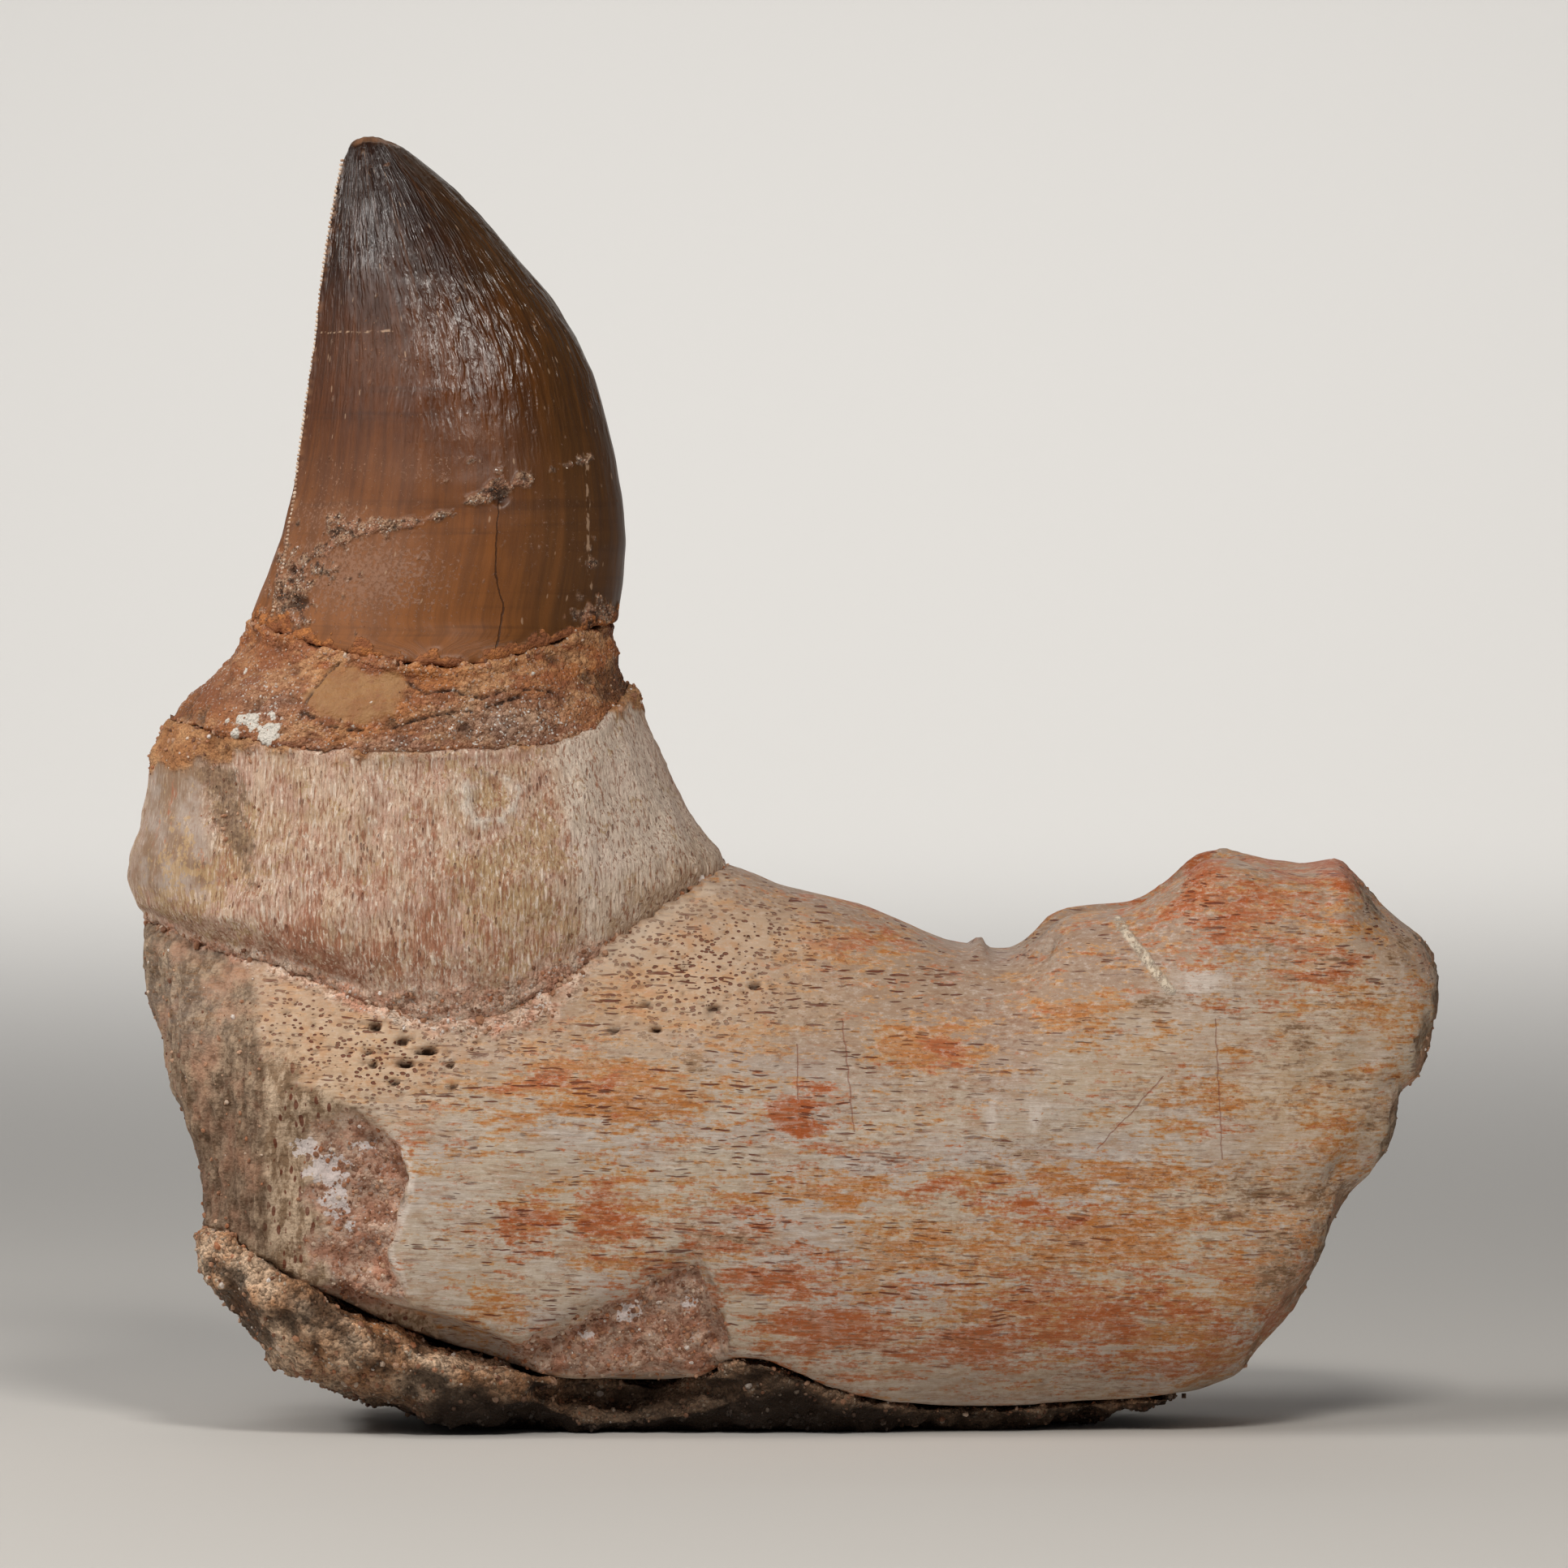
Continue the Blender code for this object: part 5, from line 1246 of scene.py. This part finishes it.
bed_numbers = ("Where", "Grains per square metre", "Smallest", "Largest")
sand_bed, given, bed_inputs = new_growth("sand bed", bed_numbers)
rough_place = put(sand_bed, "GeometryNodeInputNamedAttribute", {"Name": given["Where"]}, data_type="FLOAT")
density = sums(sand_bed, "MULTIPLY", rough_place.outputs[0], given["Grains per square metre"])
bed = {"Mesh": given["Source"], "Density": density, "Seed": 7}
strewn = put(sand_bed, "GeometryNodeDistributePointsOnFaces", bed).outputs[0]
grain = put(sand_bed, "GeometryNodeMeshIcoSphere", {"Radius": 1.0, "Subdivisions": 1}).outputs[0]
shape = random_size(sand_bed, (0.6, 0.6, 0.45), (1.25, 1.1, 0.9), 1)
turned = random_size(sand_bed, (0, 0, 0), (6.28, 6.28, 6.28), 2)
span = sums(sand_bed, "SUBTRACT", given["Largest"], given["Smallest"])
spread = put(sand_bed, "FunctionNodeRandomValue", {2: 0.0, 3: 1.0, 8: 3}, data_type="FLOAT").outputs[1]
size = sums(sand_bed, "MULTIPLY_ADD", sums(sand_bed, "POWER", spread, 2.2), span, given["Smallest"])
scale = places(sand_bed, "SCALE", shape, size)
settled = {"Points": strewn, "Instance": grain, "Rotation": turned, "Scale": scale}
grains = put(sand_bed, "GeometryNodeInstanceOnPoints", settled).outputs[0]
tone = put(sand_bed, "FunctionNodeRandomValue", {2: 0.0, 3: 1.0, 8: 9}, data_type="FLOAT").outputs[1]
kept_tone = {"Geometry": grains, "Name": "tone", "Value": tone}
toned = put(sand_bed, "GeometryNodeStoreNamedAttribute", kept_tone, data_type="FLOAT", domain="INSTANCE")
end_growth(sand_bed, given, toned.outputs[0])

material, tree, shader, place = new_finish("loose_sand", Specular_IOR_Level=0.5)
tone = painted(tree, "tone")
colour = GRAIN_DARK
for low, high, grain_colour in GRAIN_TONES:
    colour = fade(tree, colour, grain_colour, tone, low, high)
colour = fade(tree, colour, CEMENT_BROWN, speckle(tree, place, 0.25, 7), 0.4, 0.65, 0.35, 0.0)
# Painted shadow: grains on the stone's underside and low middle are darkened like the stone
colour = tinge(tree, colour, DARK_GRAIN_AND_SHADE, "underside", 0.6, clamp=True)
grain_roughness = between(tree, tone, 0.7, 0.95, 0.7, 0.3)
finish_with(tree, shader, colour, grain_roughness, speckle(tree, place, 0.12, 2), 0.05)
for piece, slot, name, where, on_each, smallest, largest in GRAIN_BEDS:
    values = {
        "Where": where,
        "Grains per square metre": on_each / MM**2,
        "Smallest": smallest * MM,
        "Largest": largest * MM,
        "Finish": material,
    }
    bed = {bed_inputs[label]: value for label, value in values.items()}
    loose_grains = grown(name, piece.data.copy(), sand_bed, bed)
    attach(loose_grains, "root")


# Floor, light and camera
# A plain pale table that bends up into the background. The main soft light hangs in front and above, a broad
# one fills from the upper left, a small one at the left gives the enamel its long shine, and a wash lights
# the background. A long lens looks at the middle of the piece from a little above level.

FLOOR_GREY = (0.62, 0.60, 0.57)
VIEW_WIDTH = 144.9
VIEW_MIDDLE = (0.15, 59.4)
CAMERA_AWAY = 1150.0
CAMERA_RISE = math.radians(2.0)

bm = bmesh.new()
rows = []
for reach, lift in [(-1500, 0), (1250, 0), (1450, 12), (1610, 60), (1720, 160), (1760, 320), (1770, 1900)]:
    rows.append([bm.verts.new((side * MM, reach * MM, lift * MM)) for side in (-2200, 2200)])
for near, far in zip(rows, rows[1:]):
    bm.faces.new((near[0], near[1], far[1], far[0]))
floor_mesh = bpy.data.meshes.new("floor")
bm.to_mesh(floor_mesh)
bm.free()
floor_mesh.shade_smooth()
floor = bpy.data.objects.new("floor", floor_mesh)
bpy.context.scene.collection.objects.link(floor)
bend = floor.modifiers.new("round bend", "SUBSURF")
bend.levels = bend.render_levels = 3
material, tree, shader, place = new_finish("floor", Specular_IOR_Level=0.2, Roughness=0.85)
shader.inputs["Base Color"].default_value = (*FLOOR_GREY, 1)
floor_mesh.materials.append(material)


def soft_light(name, place, aim, size, power, tint):
    """A square soft light at a place, turned towards its aim, all in millimetres."""
    lamp = bpy.data.lights.new(name, "AREA")
    lamp.size = size * MM
    lamp.energy = power
    lamp.color = tint
    light = bpy.data.objects.new(name, lamp)
    light.location = Vector(place) * MM
    light.rotation_euler = (Vector(aim) - Vector(place)).to_track_quat("-Z", "Y").to_euler()
    bpy.context.scene.collection.objects.link(light)


soft_light("main", (60, -330, 375), (-20, 0, 60), 100, 1.0, (1.0, 0.96, 0.9))
soft_light("upper left", (-240, -190, 350), (-20, 0, 60), 300, 0.66, (1.0, 0.97, 0.93))
soft_light("left side", (-385, -46, 292), (-40, 0, 112), 90, 0.6, (1.0, 0.98, 0.95))
soft_light("background wash", (0, 1150, 1000), (0, 1750, 200), 800, 12.5, (1.0, 1.0, 1.0))

world = bpy.data.worlds.new("studio")
world.use_nodes = True
world.node_tree.nodes["Background"].inputs["Color"].default_value = (0.9, 0.93, 1.0, 1)
world.node_tree.nodes["Background"].inputs["Strength"].default_value = 0.08
bpy.context.scene.world = world
bpy.context.scene.view_settings.view_transform = "Standard"

lens = bpy.data.cameras.new("camera")
lens.sensor_width = 36.0
lens.lens = lens.sensor_width * CAMERA_AWAY / VIEW_WIDTH
lens.clip_start = 0.05
camera = bpy.data.objects.new("camera", lens)
aim = Vector((VIEW_MIDDLE[0], 0, VIEW_MIDDLE[1])) * MM
camera.location = aim + Vector((0, -math.cos(CAMERA_RISE), math.sin(CAMERA_RISE))) * CAMERA_AWAY * MM
camera.rotation_euler = (aim - camera.location).to_track_quat("-Z", "Y").to_euler()
bpy.context.scene.collection.objects.link(camera)
bpy.context.scene.camera = camera
